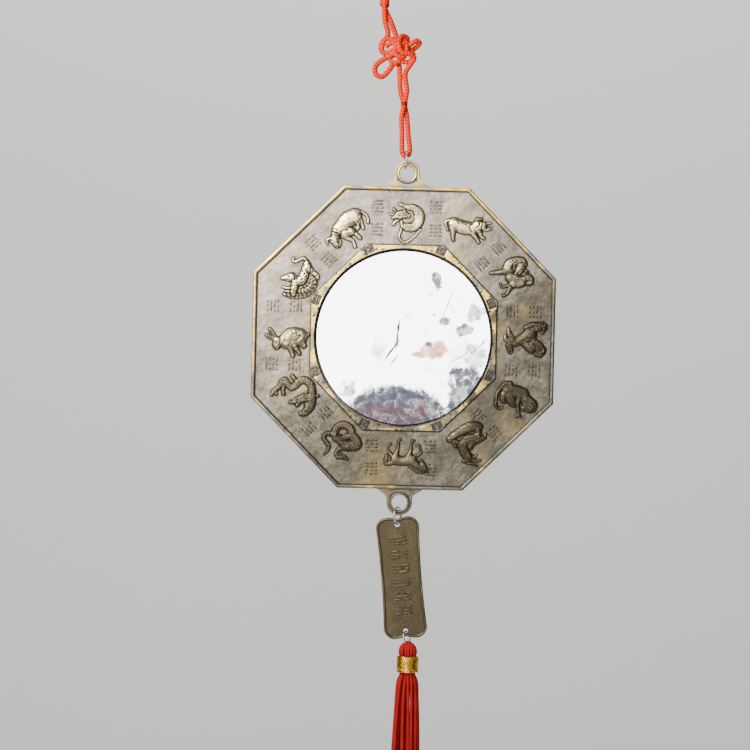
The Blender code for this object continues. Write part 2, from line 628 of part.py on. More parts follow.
def make_tassel(finish):
    band_top = -HEAD_HEIGHT
    band_foot = band_top - BAND_HEIGHT
    levels = (
        (0.36 * HEAD_WIDTH, 0.0), (0.66 * HEAD_WIDTH, -0.14 * HEAD_HEIGHT), (0.88 * HEAD_WIDTH, -0.38 * HEAD_HEIGHT),
        (HEAD_WIDTH, -0.72 * HEAD_HEIGHT), (NECK_WIDTH, band_top + CLEARANCE), (NECK_WIDTH, band_foot - CLEARANCE),
        (0.86 * SKIRT_WIDTH, band_foot - 0.4 * BAND_HEIGHT), (0.96 * SKIRT_WIDTH, band_foot - 2 * BAND_HEIGHT),
        (SKIRT_WIDTH, -0.6 * TASSEL_LENGTH), (0.97 * SKIRT_WIDTH, -TASSEL_LENGTH),
    )
    tassel = add_object("tassel", stack([tassel_section(width, z) for width, z in levels]), finish, 50)
    tassel.location = (TASSEL_X, 0, TASSEL_TOP_Z)
    tunnel = add_object("tool", wire_ring(TASSEL_RING, THIN_WIRE + 3 * CLEARANCE, 16, 6))
    tunnel.location = (TASSEL_RING_X, 0, TASSEL_RING_Z)
    tunnel.rotation_euler = (0, -RING_LEAN, math.radians(TASSEL_RING_TURN))
    bpy.context.view_layer.update()
    combine(tassel, tunnel, "DIFFERENCE")


def make_band(finish):
    inner = NECK_WIDTH / 2 + CLEARANCE
    outer = inner + BAND_WALL
    steps = 24
    top = -HEAD_HEIGHT
    foot = top - BAND_HEIGHT
    shape = bmesh.new()
    rings = []
    for radius, z in ((inner, foot), (outer, foot), (outer, top), (inner, top)):
        level = [Vector((radius * math.cos(2 * math.pi * k / steps),
                         (radius - inner + inner * TASSEL_FLATNESS) * math.sin(2 * math.pi * k / steps), z))
                 for k in range(steps)]
        rings.append(add_loop(shape, level))
    for k in range(4):
        bridge(shape, rings[k], rings[(k + 1) % 4])
    band = add_object("tassel_band", shape, finish, 40)
    band.location = (TASSEL_X, 0, TASSEL_TOP_Z)


# Cord

def smooth_curve(route, count):
    """Points of a centripetal spline through the route, evenly spread over its stretches."""
    points = [Vector(p) for p in route]
    points = [2 * points[0] - points[1]] + points + [2 * points[-1] - points[-2]]
    knots = [0.0]
    for first, second in zip(points, points[1:]):
        knots.append(knots[-1] + math.sqrt((second - first).length))
    stretches = len(points) - 3
    curve = []
    for k in range(count):
        at = k * stretches / (count - 1)
        j = min(int(at), stretches - 1)
        t0, t1, t2, t3 = knots[j:j + 4]
        p0, p1, p2, p3 = points[j:j + 4]
        t = t1 + (at - j) * (t2 - t1)
        a1 = p0.lerp(p1, (t - t0) / (t1 - t0))
        a2 = p1.lerp(p2, (t - t1) / (t2 - t1))
        a3 = p2.lerp(p3, (t - t2) / (t3 - t2))
        b1 = a1.lerp(a2, (t - t0) / (t2 - t0))
        b2 = a2.lerp(a3, (t - t1) / (t3 - t1))
        curve.append(b1.lerp(b2, (t - t1) / (t2 - t1)))
    return curve


def make_cord(finish):
    route = smooth_curve(CORD_ROUTE, CORD_POINTS)
    curve = bpy.data.curves.new("hanging_cord", "CURVE")
    curve.dimensions = "3D"
    curve.bevel_depth = CORD_DIAMETER / 2
    curve.bevel_resolution = 2
    curve.use_fill_caps = True
    spline = curve.splines.new("POLY")
    spline.points.add(len(route) - 1)
    for place, point in zip(spline.points, route):
        place.co = (*point, 1.0)
    curve.materials.append(finish)
    cord = bpy.data.objects.new("hanging_cord", curve)
    bpy.context.scene.collection.objects.link(cord)


def wrapping(height, bulge):
    """A short oval sleeve round two strands that lie one behind the other."""
    half_x = CORD_DIAMETER / 2 + 2 * CLEARANCE
    half_y = half_x + STRAND_SPREAD
    steps = 20
    rings = []
    shape = bmesh.new()
    profile = ((0.0, -0.5), (WRAP_WALL, -0.5), (WRAP_WALL + bulge, 0.0), (WRAP_WALL, 0.5), (0.0, 0.5))
    for wall, level in profile:
        loop = []
        for k in range(steps):
            angle = 2 * math.pi * k / steps
            loop.append(Vector(((half_x + wall) * math.cos(angle), (half_y + wall) * math.sin(angle), level * height)))
        rings.append(add_loop(shape, loop))
    for k in range(len(rings)):
        bridge(shape, rings[k], rings[(k + 1) % len(rings)])
    return shape


def make_wrappings(finish):
    for name, height, bulge, (x, z) in (("cord_binding", BINDING_HEIGHT, 0.0, BINDING_AT),
                                        ("loop_knot", LOOP_KNOT_HEIGHT, LOOP_KNOT_BULGE, LOOP_KNOT_AT)):
        sleeve = add_object(name, wrapping(height, bulge), finish, 50)
        sleeve.location = (x, 0, z)


def main():
    clear_scene()
    cast = material("aged_cast_brass", (0.42, 0.37, 0.29), 0.45, 0.9)
    bronze = material("brown_cast_brass", (0.27, 0.22, 0.15), 0.45, 0.9)
    mirror = material("mirror_silver", (0.90, 0.90, 0.90), 0.05, 1.0)
    steel = material("ring_steel", (0.60, 0.60, 0.60), 0.25, 1.0)
    red = material("red_cord", (0.75, 0.06, 0.02), 0.7, 0.0)
    yarn = material("red_yarn", (0.60, 0.03, 0.02), 0.8, 0.0)
    gold = material("gold_foil", (0.80, 0.55, 0.15), 0.25, 1.0)
    make_frame(cast)
    make_glass(mirror)
    make_rings(steel)
    make_plaque(bronze)
    make_tassel(yarn)
    make_band(gold)
    make_cord(red)
    make_wrappings(red)


main()
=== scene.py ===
"""Looks of the octagonal hanging mirror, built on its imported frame.

Metres, +Z up, the mirror's face looks along -Y. The twelve animals are drawn in millimetres on the
face of the band, each from its own centre.
"""
import math

import bmesh
import bpy
import numpy as np
from mathutils import Matrix, Vector


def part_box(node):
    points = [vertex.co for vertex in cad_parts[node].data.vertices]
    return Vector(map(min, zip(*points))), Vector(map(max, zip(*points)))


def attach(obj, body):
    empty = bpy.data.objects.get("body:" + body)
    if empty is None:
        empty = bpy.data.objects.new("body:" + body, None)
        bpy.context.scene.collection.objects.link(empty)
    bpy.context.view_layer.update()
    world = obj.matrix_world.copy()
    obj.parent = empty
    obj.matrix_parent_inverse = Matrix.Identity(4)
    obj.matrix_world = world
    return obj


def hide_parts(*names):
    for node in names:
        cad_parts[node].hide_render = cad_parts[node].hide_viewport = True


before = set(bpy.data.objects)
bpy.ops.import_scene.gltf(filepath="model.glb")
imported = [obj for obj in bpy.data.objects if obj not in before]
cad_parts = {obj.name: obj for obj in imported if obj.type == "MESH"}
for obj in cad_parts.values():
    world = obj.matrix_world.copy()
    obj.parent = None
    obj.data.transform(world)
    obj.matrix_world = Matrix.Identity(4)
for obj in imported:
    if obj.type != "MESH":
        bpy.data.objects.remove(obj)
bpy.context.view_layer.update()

MM = 0.001


def middle(node):
    low, high = (Vector(corner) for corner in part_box(node))
    return (low + high) / 2


def extent(node, axis):
    low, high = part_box(node)
    return high[axis] - low[axis]


# Sizes of the casting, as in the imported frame
CENTRE_Z = middle("mirror_glass").z
ACROSS_FLATS = extent("mirror_frame", 0)
PLATE_THICK = 3.2 * MM
GROUND_Y = -PLATE_THICK / 2
BACK_Y = PLATE_THICK / 2
RIM_WIDTH = 1.9 * MM
RIM_RISE = 1.3 * MM
RIM_APOTHEM = ACROSS_FLATS / 2 - RIM_WIDTH
BEZEL_RISE = 0.8 * MM
BEZEL_Y = GROUND_Y - BEZEL_RISE
SEAT_RADIUS = 44.25 * MM
BEZEL_APOTHEM = 45.95 * MM
SEAT_Y = 0.2 * MM
BACK_BORDER = 6.0 * MM
BACK_RECESS = 0.6 * MM
SOFT_EDGE = 0.4 * MM
FIGURE_RADIUS = (RIM_APOTHEM + BEZEL_APOTHEM) / 2

# Eye lugs
EYE_HOLE = 7.7 * MM
EYE_WALL = 2.5 * MM
EYE_REACH = 6.6 * MM
SHOULDER_HALF = 12.0 * MM
COLLAR_WIDTH = 1.1 * MM
COLLAR_RISE = 0.45 * MM

# Relief, in millimetres
RELIEF = 1.8
RELIEF_SOFT = 1.6
ROCK_SHARE = 0.32
CELL = 0.17
LIMB_LIFT = 0.34
LIMB_GROOVE = 0.30
LIMB_ROOT = 2.4
LIMB_BLEND = 0.22
EDGE_FALL = 1.1
SUNK = 0.35
ROOT = 0.5
CUT_DEEP = 0.42
CUT_WIDE = 0.21
EYE_BULGE = 0.26
EYE_GROOVE = 0.24
UNEVEN = 0.02

# Cord
CORD_DIAMETER = 2.5 * MM
CORD_ROUTE = [
    (-0.0023, -0.0014, -0.1168), (-0.0035, -0.0008, -0.1220), (-0.0031, 0.0000, -0.1310),
    (-0.0029, 0.0000, -0.1393), (-0.0024, 0.0000, -0.1412), (-0.0010, 0.0000, -0.1419),
    (0.0004, 0.0000, -0.1412), (0.0009, 0.0000, -0.1393), (-0.0001, 0.0000, -0.1310),
    (-0.0010, 0.0008, -0.1220), (-0.0023, 0.0014, -0.1164), (-0.0042, 0.0008, -0.1105),
    (-0.0050, 0.0002, -0.1020), (-0.0056, 0.0012, -0.0968), (-0.0076, 0.0014, -0.0960),
    (-0.0108, 0.0005, -0.1003), (-0.0139, 0.0000, -0.1030), (-0.0170, -0.0003, -0.1015),
    (-0.0169, -0.0007, -0.0976), (-0.0124, -0.0014, -0.0940), (-0.0066, -0.0016, -0.0906),
    (-0.0014, -0.0016, -0.0878), (0.0030, -0.0012, -0.0849), (0.0045, 0.0002, -0.0859),
    (0.0024, 0.0014, -0.0882), (-0.0034, 0.0016, -0.0911), (-0.0100, 0.0015, -0.0919),
    (-0.0140, 0.0006, -0.0902), (-0.0136, -0.0002, -0.0860), (-0.0113, 0.0000, -0.0818),
    (-0.0129, -0.0004, -0.0755), (-0.0134, -0.0014, -0.0690), (-0.0134, -0.0014, -0.0640),
    (-0.0143, -0.0005, -0.0550), (-0.0130, 0.0000, -0.0400), (-0.0092, 0.0000, -0.0200),
    (-0.0050, 0.0000, -0.00375), (0.0000, 0.0000, 0.00125), (0.0050, 0.0000, -0.00375),
    (0.0032, 0.0000, -0.0200), (-0.0036, 0.0000, -0.0410), (-0.0106, 0.0005, -0.0560),
    (-0.0132, 0.0014, -0.0636), (-0.0130, 0.0014, -0.0690), (-0.0104, 0.0006, -0.0746),
    (-0.0076, 0.0011, -0.0815), (-0.0056, 0.0017, -0.0866), (-0.0022, 0.0015, -0.0868),
    (-0.0017, 0.0000, -0.0836), (-0.0044, -0.0022, -0.0829), (-0.0059, -0.0043, -0.0866),
    (-0.0044, -0.0045, -0.0910), (-0.0004, -0.0034, -0.0919), (0.0020, -0.0020, -0.0936),
    (0.0002, -0.0009, -0.0966), (-0.0022, -0.0002, -0.1010), (-0.0013, -0.0006, -0.1100),
    (-0.0023, -0.0014, -0.1160),
]


# Camera, stage and light

PHOTO_WIDTH = 0.3722
PHOTO_TURN = math.radians(1.404)
PHOTO_ASIDE = -0.01404
PHOTO_BELOW = -0.01839
CAMERA_DISTANCE = 1.1
SENSOR_WIDTH = 36.0

STAGE_HALF = 6.0
STAGE_TOP = 5.0
FLOOR_Z = -0.75
WALL_Y = 1.8
STAGE_PAINT = (0.72, 0.72, 0.71, 1)
WORLD_TINT = (0.95, 0.97, 1.0, 1)
WORLD_STRENGTH = 0.14

# Each light's name, place, aim, size and power
LIGHTS = (
    ("front_box", (-0.50, -2.3, 0.32), (-0.50, 0, 0.32), (1.4, 1.36), 48),
    ("key", (-0.23, -0.27, -0.04), (0, 0, CENTRE_Z), (0.18, 0.18), 3.4),
    ("backdrop", (0.0, 0.5, 1.6), (0.0, WALL_Y, -0.2), (2.5, 0.6), 60),
)


def link_object(name, data):
    made = bpy.data.objects.new(name, data)
    bpy.context.scene.collection.objects.link(made)
    return made


def set_camera():
    right = Vector((math.cos(PHOTO_TURN), 0, math.sin(PHOTO_TURN)))
    up = Vector((-math.sin(PHOTO_TURN), 0, math.cos(PHOTO_TURN)))
    back = Vector((0, -1, 0))
    aim = Vector((0, 0, CENTRE_Z)) + right * PHOTO_ASIDE + up * PHOTO_BELOW
    camera = bpy.data.cameras.new("camera")
    camera.sensor_width = SENSOR_WIDTH
    camera.lens = SENSOR_WIDTH * CAMERA_DISTANCE / PHOTO_WIDTH
    camera.clip_start = 0.01
    holder = link_object("camera", camera)
    turn = Matrix((right, up, back)).transposed().to_4x4()
    holder.matrix_world = Matrix.Translation(aim + back * CAMERA_DISTANCE) @ turn
    bpy.context.scene.camera = holder


def set_lights():
    for name, place, aim, size, power in LIGHTS:
        lamp = bpy.data.lights.new(name, "AREA")
        lamp.shape = "RECTANGLE"
        lamp.size, lamp.size_y = size
        lamp.energy = power
        holder = link_object(name, lamp)
        holder.location = place
        holder.rotation_euler = (Vector(aim) - Vector(place)).to_track_quat("-Z", "Y").to_euler()
    world = bpy.data.worlds.new("studio")
    world.use_nodes = True
    background = world.node_tree.nodes["Background"]
    background.inputs["Color"].default_value = WORLD_TINT
    background.inputs["Strength"].default_value = WORLD_STRENGTH
    bpy.context.scene.world = world


def set_stage():
    paint = bpy.data.materials.new("pale_stage")
    paint.use_nodes = True
    shader = paint.node_tree.nodes["Principled BSDF"]
    shader.inputs["Base Color"].default_value = STAGE_PAINT
    shader.inputs["Roughness"].default_value = 0.9
    near = [(-STAGE_HALF, -STAGE_HALF, FLOOR_Z), (STAGE_HALF, -STAGE_HALF, FLOOR_Z)]
    foot = [(-STAGE_HALF, WALL_Y, FLOOR_Z), (STAGE_HALF, WALL_Y, FLOOR_Z)]
    top = [(-STAGE_HALF, WALL_Y, STAGE_TOP), (STAGE_HALF, WALL_Y, STAGE_TOP)]
    for name, corners in (("stage_floor", near + foot[::-1]), ("stage_wall", foot + top[::-1])):
        mesh = bpy.data.meshes.new(name)
        mesh.from_pydata(corners, [], [(0, 1, 2, 3)])
        mesh.materials.append(paint)
        link_object(name, mesh)


# Node trees

class Graph:
    """Adds nodes to a tree and links them by the names of their sockets."""

    def __init__(self, tree):
        self.tree = tree

    def add(self, kind, inputs=None, **settings):
        node = self.tree.nodes.new(kind)
        for name, value in settings.items():
            setattr(node, name, value)
        return self.feed_all(node, inputs or {})

    def feed(self, socket, value):
        if isinstance(value, bpy.types.NodeSocket):
            self.tree.links.new(value, socket)
        else:
            socket.default_value = value

    def feed_all(self, node, values):
        for name, value in values.items():
            self.feed(node.inputs[name], value)
        return node

    def calc(self, operation, *values):
        node = self.add("ShaderNodeMath", operation=operation)
        for socket, value in zip(node.inputs, values):
            self.feed(socket, value)
        return node.outputs[0]

    def plus(self, first, second):
        return self.calc("ADD", first, second)

    def minus(self, first, second):
        return self.calc("SUBTRACT", first, second)

    def times(self, first, second):
        return self.calc("MULTIPLY", first, second)

    def most(self, first, second):
        return self.calc("MAXIMUM", first, second)

    def swing(self, noise, amount):
        """A noise about one half, made one about zero."""
        return self.times(self.minus(noise, 0.5), amount)

    def fade(self, value, low, high, start=0.0, end=1.0):
        """A smooth step from start to end as the value goes from low to high."""
        node = self.add("ShaderNodeMapRange", {
            "Value": value, "From Min": low, "From Max": high, "To Min": start, "To Max": end},
            interpolation_type="SMOOTHSTEP")
        return node.outputs["Result"]

    def blend(self, share, first, second):
        node = self.add("ShaderNodeMix", data_type="RGBA")
        for place, value in ((0, share), (6, first), (7, second)):
            self.feed(node.inputs[place], value)
        return node.outputs[2]

    def noise(self, place, scale, detail=2.0, roughness=0.5, distortion=0.0):
        node = self.add("ShaderNodeTexNoise", {"Vector": place, "Scale": scale, "Detail": detail,
                                               "Roughness": roughness, "Distortion": distortion})
        return node.outputs["Fac"]

    def vector(self, operation, first, second=None):
        node = self.add("ShaderNodeVectorMath", operation=operation)
        self.feed(node.inputs[0], first)
        if second is not None:
            self.feed(node.inputs[1], second)
        return node.outputs["Value" if operation == "LENGTH" else "Vector"]

    def turned(self, place, angle):
        """The place turned about Y, the axis that the face looks along."""
        return self.add("ShaderNodeVectorRotate", {"Vector": place, "Angle": angle},
                        rotation_type="Y_AXIS").outputs[0]


def new_group(name, kind, inputs, outputs):
    """An empty node group with its sockets; returns its helper and its ends."""
    tree = bpy.data.node_groups.new(name, kind)
    for label, socket, value in inputs:
        made = tree.interface.new_socket(label, in_out="INPUT", socket_type=socket)
        if value is not None:
            made.default_value = value
    for label, socket in outputs:
        tree.interface.new_socket(label, in_out="OUTPUT", socket_type=socket)
    graph = Graph(tree)
    return graph, graph.add("NodeGroupInput"), graph.add("NodeGroupOutput")


NUMBER, COLOUR, VECTOR = "NodeSocketFloat", "NodeSocketColor", "NodeSocketVector"
WHOLE, SHAPE, FINISH = "NodeSocketInt", "NodeSocketGeometry", "NodeSocketMaterial"


# Shader groups

def scratch_group():
    """Fine straight scratches in two directions, as a mask."""
    graph, given, result = new_group("fine_scratches", "ShaderNodeTree", [
        ("Place", VECTOR, None), ("Reach", NUMBER, 60.0), ("Fineness", NUMBER, 1500.0),
    ], [("Mask", NUMBER)])
    reach = given.outputs["Reach"]
    stretch = graph.add("ShaderNodeCombineXYZ", {"X": reach, "Y": reach, "Z": given.outputs["Fineness"]})
    masks = []
    for turn, limit in ((0.45, 0.66), (-0.9, 0.68)):
        turned = graph.turned(given.outputs["Place"], turn)
        line = graph.noise(graph.vector("MULTIPLY", turned, stretch.outputs[0]), 1.0, 1.0)
        masks.append(graph.fade(line, limit, limit + 0.04))
    graph.feed_all(result, {"Mask": graph.most(*masks)})
    return graph.tree


def smudge_group():
    """A ragged oval mark on a flat face, leaning or upright, as a mask."""
    graph, given, result = new_group("smudge", "ShaderNodeTree", [
        ("Place", VECTOR, None), ("Middle", VECTOR, None), ("Reach", VECTOR, None), ("Lean", NUMBER, 0.0),
        ("Ragged", NUMBER, 1.0),
    ], [("Mask", NUMBER)])
    place = given.outputs["Place"]
    step = graph.turned(graph.vector("SUBTRACT", place, given.outputs["Middle"]), given.outputs["Lean"])
    far = graph.vector("LENGTH", graph.vector("DIVIDE", step, given.outputs["Reach"]))
    edge = graph.noise(place, 240.0, 6.0, 0.7, 0.5)
    uneven = graph.swing(edge, graph.times(given.outputs["Ragged"], 2.0))
    graph.feed_all(result, {"Mask": graph.fade(graph.plus(far, uneven), 0.72, 1.05, 1.0, 0.0)})
    return graph.tree


def casting_group():
    """Aged cast metal: blotched ground, worn high places, dark patina and painted shade in the hollows,
    painted glints, and painted shade deepening towards the lower right.
    """
    graph, given, result = new_group("aged_casting", "ShaderNodeTree", [
        ("Place", VECTOR, None), ("Wear", NUMBER, 0.0), ("Grime And Shade", NUMBER, 0.0),
        ("Ground", COLOUR, (0.3, 0.3, 0.3, 1)), ("Stain", COLOUR, (0.2, 0.2, 0.2, 1)),
        ("Worn", COLOUR, (0.6, 0.5, 0.3, 1)), ("Dirt And Shade", COLOUR, (0.03, 0.03, 0.02, 1)),
    ], [("Colour", COLOUR), ("Roughness", NUMBER), ("Metal", NUMBER), ("Height", NUMBER)])
    place, wear, bare = (given.outputs[name] for name in ("Place", "Wear", "Worn"))
    broad = graph.noise(place, 34.0, 4.0, 0.6, 0.4)
    patch = graph.noise(place, 150.0, 5.0, 0.62)
    speck = graph.noise(place, 900.0, 3.0, 0.6)
    grain = graph.noise(place, 2600.0, 2.0, 0.6)

    # Painted shade: the light's falloff from the upper left to the lower right, deepening the stain and
    # dimming the glints and the wear
    where = graph.add("ShaderNodeSeparateXYZ", {"Vector": place})
    lower = graph.times(graph.minus(CENTRE_Z, where.outputs["Z"]), 0.85)
    shade = graph.fade(graph.calc("MULTIPLY_ADD", where.outputs["X"], 0.5, lower), -0.055, 0.042)

    stain = graph.plus(graph.fade(broad, 0.40, 0.66, 0.0, 0.34), graph.fade(patch, 0.44, 0.66, 0.0, 0.20))
    stain = graph.plus(stain, graph.fade(speck, 0.45, 0.68, 0.0, 0.26))
    stain = graph.plus(stain, graph.times(shade, 0.72))
    colour = graph.blend(stain, given.outputs["Ground"], given.outputs["Stain"])
    warm = graph.fade(graph.noise(place, 27.0, 3.0, 0.6, 0.6), 0.50, 0.70, 0.0, 0.15)
    colour = graph.blend(warm, colour, bare)
    # Painted highlight: glints of the lamp as bright specks, fewer towards the lower right
    glint = graph.times(graph.fade(grain, 0.56, 0.72, 0.0, 0.5), graph.fade(shade, 0.0, 1.0, 1.0, 0.35))
    colour = graph.blend(glint, colour, (0.62, 0.59, 0.52, 1))

    # Wear, dimmed where the painted shade deepens
    rubbed_and_lit = graph.minus(graph.plus(wear, graph.swing(patch, 0.9)), graph.times(shade, 0.48))
    worn = graph.times(graph.fade(rubbed_and_lit, 0.30, 0.72), graph.fade(wear, 0.02, 0.2))
    colour = graph.blend(worn, colour, bare)
    # The darkening each piece gives its hollows and creases, partly patina and partly painted shade, with
    # random dark specks
    hollow = graph.plus(given.outputs["Grime And Shade"], graph.swing(speck, 0.35))
    dirt_and_shade = graph.most(graph.fade(hollow, 0.18, 0.85), graph.fade(speck, 0.66, 0.78, 0.0, 0.4))

    rough = graph.plus(graph.fade(patch, 0.35, 0.7, 0.36, 0.56), graph.times(dirt_and_shade, 0.22))
    height = graph.plus(graph.times(speck, 0.6), graph.times(grain, 0.3))
    graph.feed_all(result, {
        "Colour": graph.blend(dirt_and_shade, colour, given.outputs["Dirt And Shade"]),
        "Roughness": graph.minus(rough, graph.times(worn, 0.13)),
        "Metal": graph.minus(0.92, graph.times(dirt_and_shade, 0.6)),
        "Height": graph.plus(height, graph.times(patch, 0.8)),
    })
    return graph.tree


def fibre_group():
    """Yarn and cord: fibres along the strand, painted highlight on the ridges and painted shade in the dark
    crossings.
    """
    graph, given, result = new_group("strand_fibres", "ShaderNodeTree", [
        ("Place", VECTOR, None), ("Ridge", NUMBER, 0.0), ("Lit", COLOUR, (0.8, 0.1, 0.05, 1)),
        ("Shade", COLOUR, (0.3, 0.02, 0.01, 1)),
    ], [("Colour", COLOUR), ("Height", NUMBER)])
    fibre = graph.noise(given.outputs["Place"], 2400.0, 3.0, 0.7)
    cloud = graph.noise(given.outputs["Place"], 160.0, 2.0)
    level = graph.plus(graph.plus(given.outputs["Ridge"], graph.swing(fibre, 1.3)), graph.swing(cloud, 0.8))
    colour = graph.blend(graph.fade(level, -0.9, 0.5), given.outputs["Shade"], given.outputs["Lit"])
    graph.feed_all(result, {"Colour": colour, "Height": fibre})
    return graph.tree


# Materials

CASTING_GRAIN = 0.07 * MM
STRAND_FUZZ = 0.10 * MM
FOIL_CRINKLE = 0.07 * MM
WIRE_GRAIN = 0.03 * MM


def new_material(name):
    made = bpy.data.materials.new(name)
    made.use_nodes = True
    graph = Graph(made.node_tree)
    place = graph.add("ShaderNodeTexCoord").outputs["Object"]
    return made, graph, made.node_tree.nodes["Principled BSDF"], place


def read_value(graph, name):
    return graph.add("ShaderNodeAttribute", attribute_name=name).outputs["Fac"]


def bump(graph, height, distance):
    return graph.add("ShaderNodeBump", {"Height": height, "Distance": distance}).outputs["Normal"]


def use_group(graph, group, inputs):
    return graph.add("ShaderNodeGroup", node_tree=group, inputs=inputs)


def cast_material(name, groups, ground, stain, worn, dirt_and_shade_colour, scratched):
    made, graph, shader, place = new_material(name)
    aged = use_group(graph, groups["casting"], {
        "Place": place, "Wear": read_value(graph, "wear"), "Grime And Shade": read_value(graph, "grime_and_shade"),
        "Ground": (*ground, 1), "Stain": (*stain, 1), "Worn": (*worn, 1), "Dirt And Shade": (*dirt_and_shade_colour, 1)})
    lines = use_group(graph, groups["scratches"], {"Place": place, "Reach": 90.0, "Fineness": 2200.0})
    bright = graph.times(lines.outputs["Mask"], scratched)
    graph.feed_all(shader, {
        "Base Color": graph.blend(bright, aged.outputs["Colour"], (*worn, 1)),
        "Roughness": aged.outputs["Roughness"], "Metallic": aged.outputs["Metal"],
        "Normal": bump(graph, aged.outputs["Height"], CASTING_GRAIN)})
    return made


# Marks and painted reflections on the mirror, in millimetres from its middle: (x, z, half width, half height,
# ragged, strength, lean)
# Painted reflection of dark surroundings low and to the right, with small tarnish spots
DARK_REFLECTION_AND_TARNISH_SPOTS = (
    (-3.0, -35.5, 26.0, 12.5, 0.45, 1.0, 0), (31.0, -27.0, 8.5, 13.5, 1.0, 0.75, 24),
    (28.0, -17.5, 6.0, 4.5, 1.1, 0.75, 0), (36.5, -9.0, 5.0, 8.0, 1.8, 0.32, 0),
    (15.9, 29.2, 2.4, 4.6, 1.2, 0.75, -12), (15.0, 11.8, 1.4, 0.6, 1.0, 0.6, 0),
    (20.3, 8.8, 3.4, 2.3, 1.2, 0.8, 10), (30.5, 4.3, 4.6, 3.2, 1.4, 0.62, -10),
    (35.0, 13.5, 4.5, 4.5, 2.0, 0.38, 0), (12.7, -2.7, 1.8, 1.5, 0.8, 0.75, 0),
    (-26.0, -26.5, 4.5, 4.0, 2.0, 0.5, 0), (-13.6, -7.0, 4.0, 4.5, 2.8, 0.22, 0),
)
# Painted reflection of pink surroundings along the lower edge
ROSE_REFLECTION_SPOTS = (
    (-6.0, -38.5, 18.0, 6.8, 0.7, 0.75, 0), (9.5, -36.0, 6.0, 4.8, 0.5, 1.0, 0),
    (-8.5, -41.0, 3.0, 2.4, 0.6, 1.0, 0),
)
# Painted pink reflections right of the middle
PINK_REFLECTION_SPOTS = (
    (15.5, -5.6, 7.6, 4.6, 0.7, 0.9, -12), (9.0, -8.0, 5.0, 1.6, 0.6, 0.8, 0),
    (31.0, -8.0, 10.0, 9.0, 1.4, 0.09, 0),
)
SCRATCHES = (
    (-2.7, 3.4, 0.42, 6.0, 2.0, 0.8, 6), (-6.4, -7.4, 0.42, 6.4, 2.0, 0.9, 34),
    (-4.2, -10.8, 0.40, 3.6, 1.4, 0.8, 36), (-3.2, -2.5, 0.7, 2.8, 2.8, 0.35, 12),
    (21.8, 17.5, 0.24, 8.4, 0.7, 0.55, 22), (27.5, -9.4, 0.24, 5.8, 0.7, 0.5, 62),
    (37.4, -3.6, 0.24, 6.4, 0.7, 0.5, 48), (24.0, 15.0, 0.24, 3.0, 0.7, 0.35, -30),
)
SCRATCHED_SIDE = (22.0, 0.0, 22.0, 30.0, 1.2, 1.0, 0)

# Colours of the silver, of the painted reflections with tarnish, and of the scratches
SILVER = (0.95, 0.953, 0.955, 1)
DARK_REFLECTION_AND_TARNISH = (0.050, 0.057, 0.070, 1)
ROSE_REFLECTION = (0.088, 0.044, 0.054, 1)
PINK_REFLECTION = (0.36, 0.165, 0.145, 1)
SCRATCH_DARK = (0.03, 0.03, 0.035, 1)


def mirror_material(groups):
    """Silvered glass, scratched, with painted reflections of dark and pink surroundings and a few tarnish
    spots over its right half and lower edge.
    """
    made, graph, shader, place = new_material("silvered_glass")

    def marked(*marks):
        total = 0.0
        for x, z, half_wide, half_tall, ragged, strength, lean in marks:
            mark = use_group(graph, groups["smudge"], {
                "Place": place, "Middle": (x * MM, 0, CENTRE_Z + z * MM),
                "Reach": (half_wide * MM, 1, half_tall * MM), "Lean": math.radians(-lean), "Ragged": ragged})
            total = graph.most(graph.times(mark.outputs["Mask"], strength), total)
        return total

    def deepen(mask):
        return graph.minus(1.0, graph.calc("POWER", graph.minus(1.0, mask), 4.0))

    mottle = graph.noise(place, 230.0, 7.0, 0.66, 0.5)
    fleck = graph.noise(place, 1100.0, 3.0, 0.6)
    cover = graph.minus(graph.fade(mottle, 0.36, 0.64, 0.90, 0.46), graph.fade(fleck, 0.56, 0.72, 0.0, 0.26))
    # Painted reflections and tarnish, mixed into the silver's colour
    grey = graph.times(marked(*DARK_REFLECTION_AND_TARNISH_SPOTS), cover)
    rose = graph.times(marked(*ROSE_REFLECTION_SPOTS), graph.fade(mottle, 0.38, 0.66, 0.95, 0.35))
    pink_reflection_mask = graph.times(marked(*PINK_REFLECTION_SPOTS), graph.fade(mottle, 0.38, 0.66, 1.0, 0.30))
    scratch = use_group(graph, groups["scratches"], {"Place": place, "Reach": 95.0, "Fineness": 1900.0})
    fine = graph.times(graph.times(scratch.outputs["Mask"], marked(SCRATCHED_SIDE)), 0.4)
    lines = graph.most(fine, marked(*SCRATCHES))
    cloud = graph.blend(rose, DARK_REFLECTION_AND_TARNISH, ROSE_REFLECTION)
    colour = graph.blend(deepen(pink_reflection_mask), SILVER, PINK_REFLECTION)
    colour = graph.blend(deepen(graph.most(grey, graph.times(rose, 0.6))), colour, cloud)
    haze = graph.most(graph.times(grey, 0.30), graph.times(lines, 0.35))
    graph.feed_all(shader, {
        "Base Color": graph.blend(deepen(lines), colour, SCRATCH_DARK), "Metallic": 1.0,
        "Roughness": graph.plus(haze, 0.03)})
    return made


def steel_material(groups):
    made, graph, shader, place = new_material("ring_wire")
    lines = use_group(graph, groups["scratches"], {"Place": place, "Reach": 500.0, "Fineness": 5200.0})
    cloud = graph.noise(place, 600.0, 4.0, 0.6)
    dulled = graph.fade(cloud, 0.42, 0.66, 0.0, 0.8)
    colour = graph.blend(dulled, (0.62, 0.62, 0.61, 1), (0.27, 0.26, 0.25, 1))
    graph.feed_all(shader, {
        "Base Color": graph.blend(lines.outputs["Mask"], colour, (0.8, 0.8, 0.8, 1)), "Metallic": 1.0,
        "Roughness": graph.fade(cloud, 0.35, 0.65, 0.22, 0.42), "Normal": bump(graph, cloud, WIRE_GRAIN)})
    return made


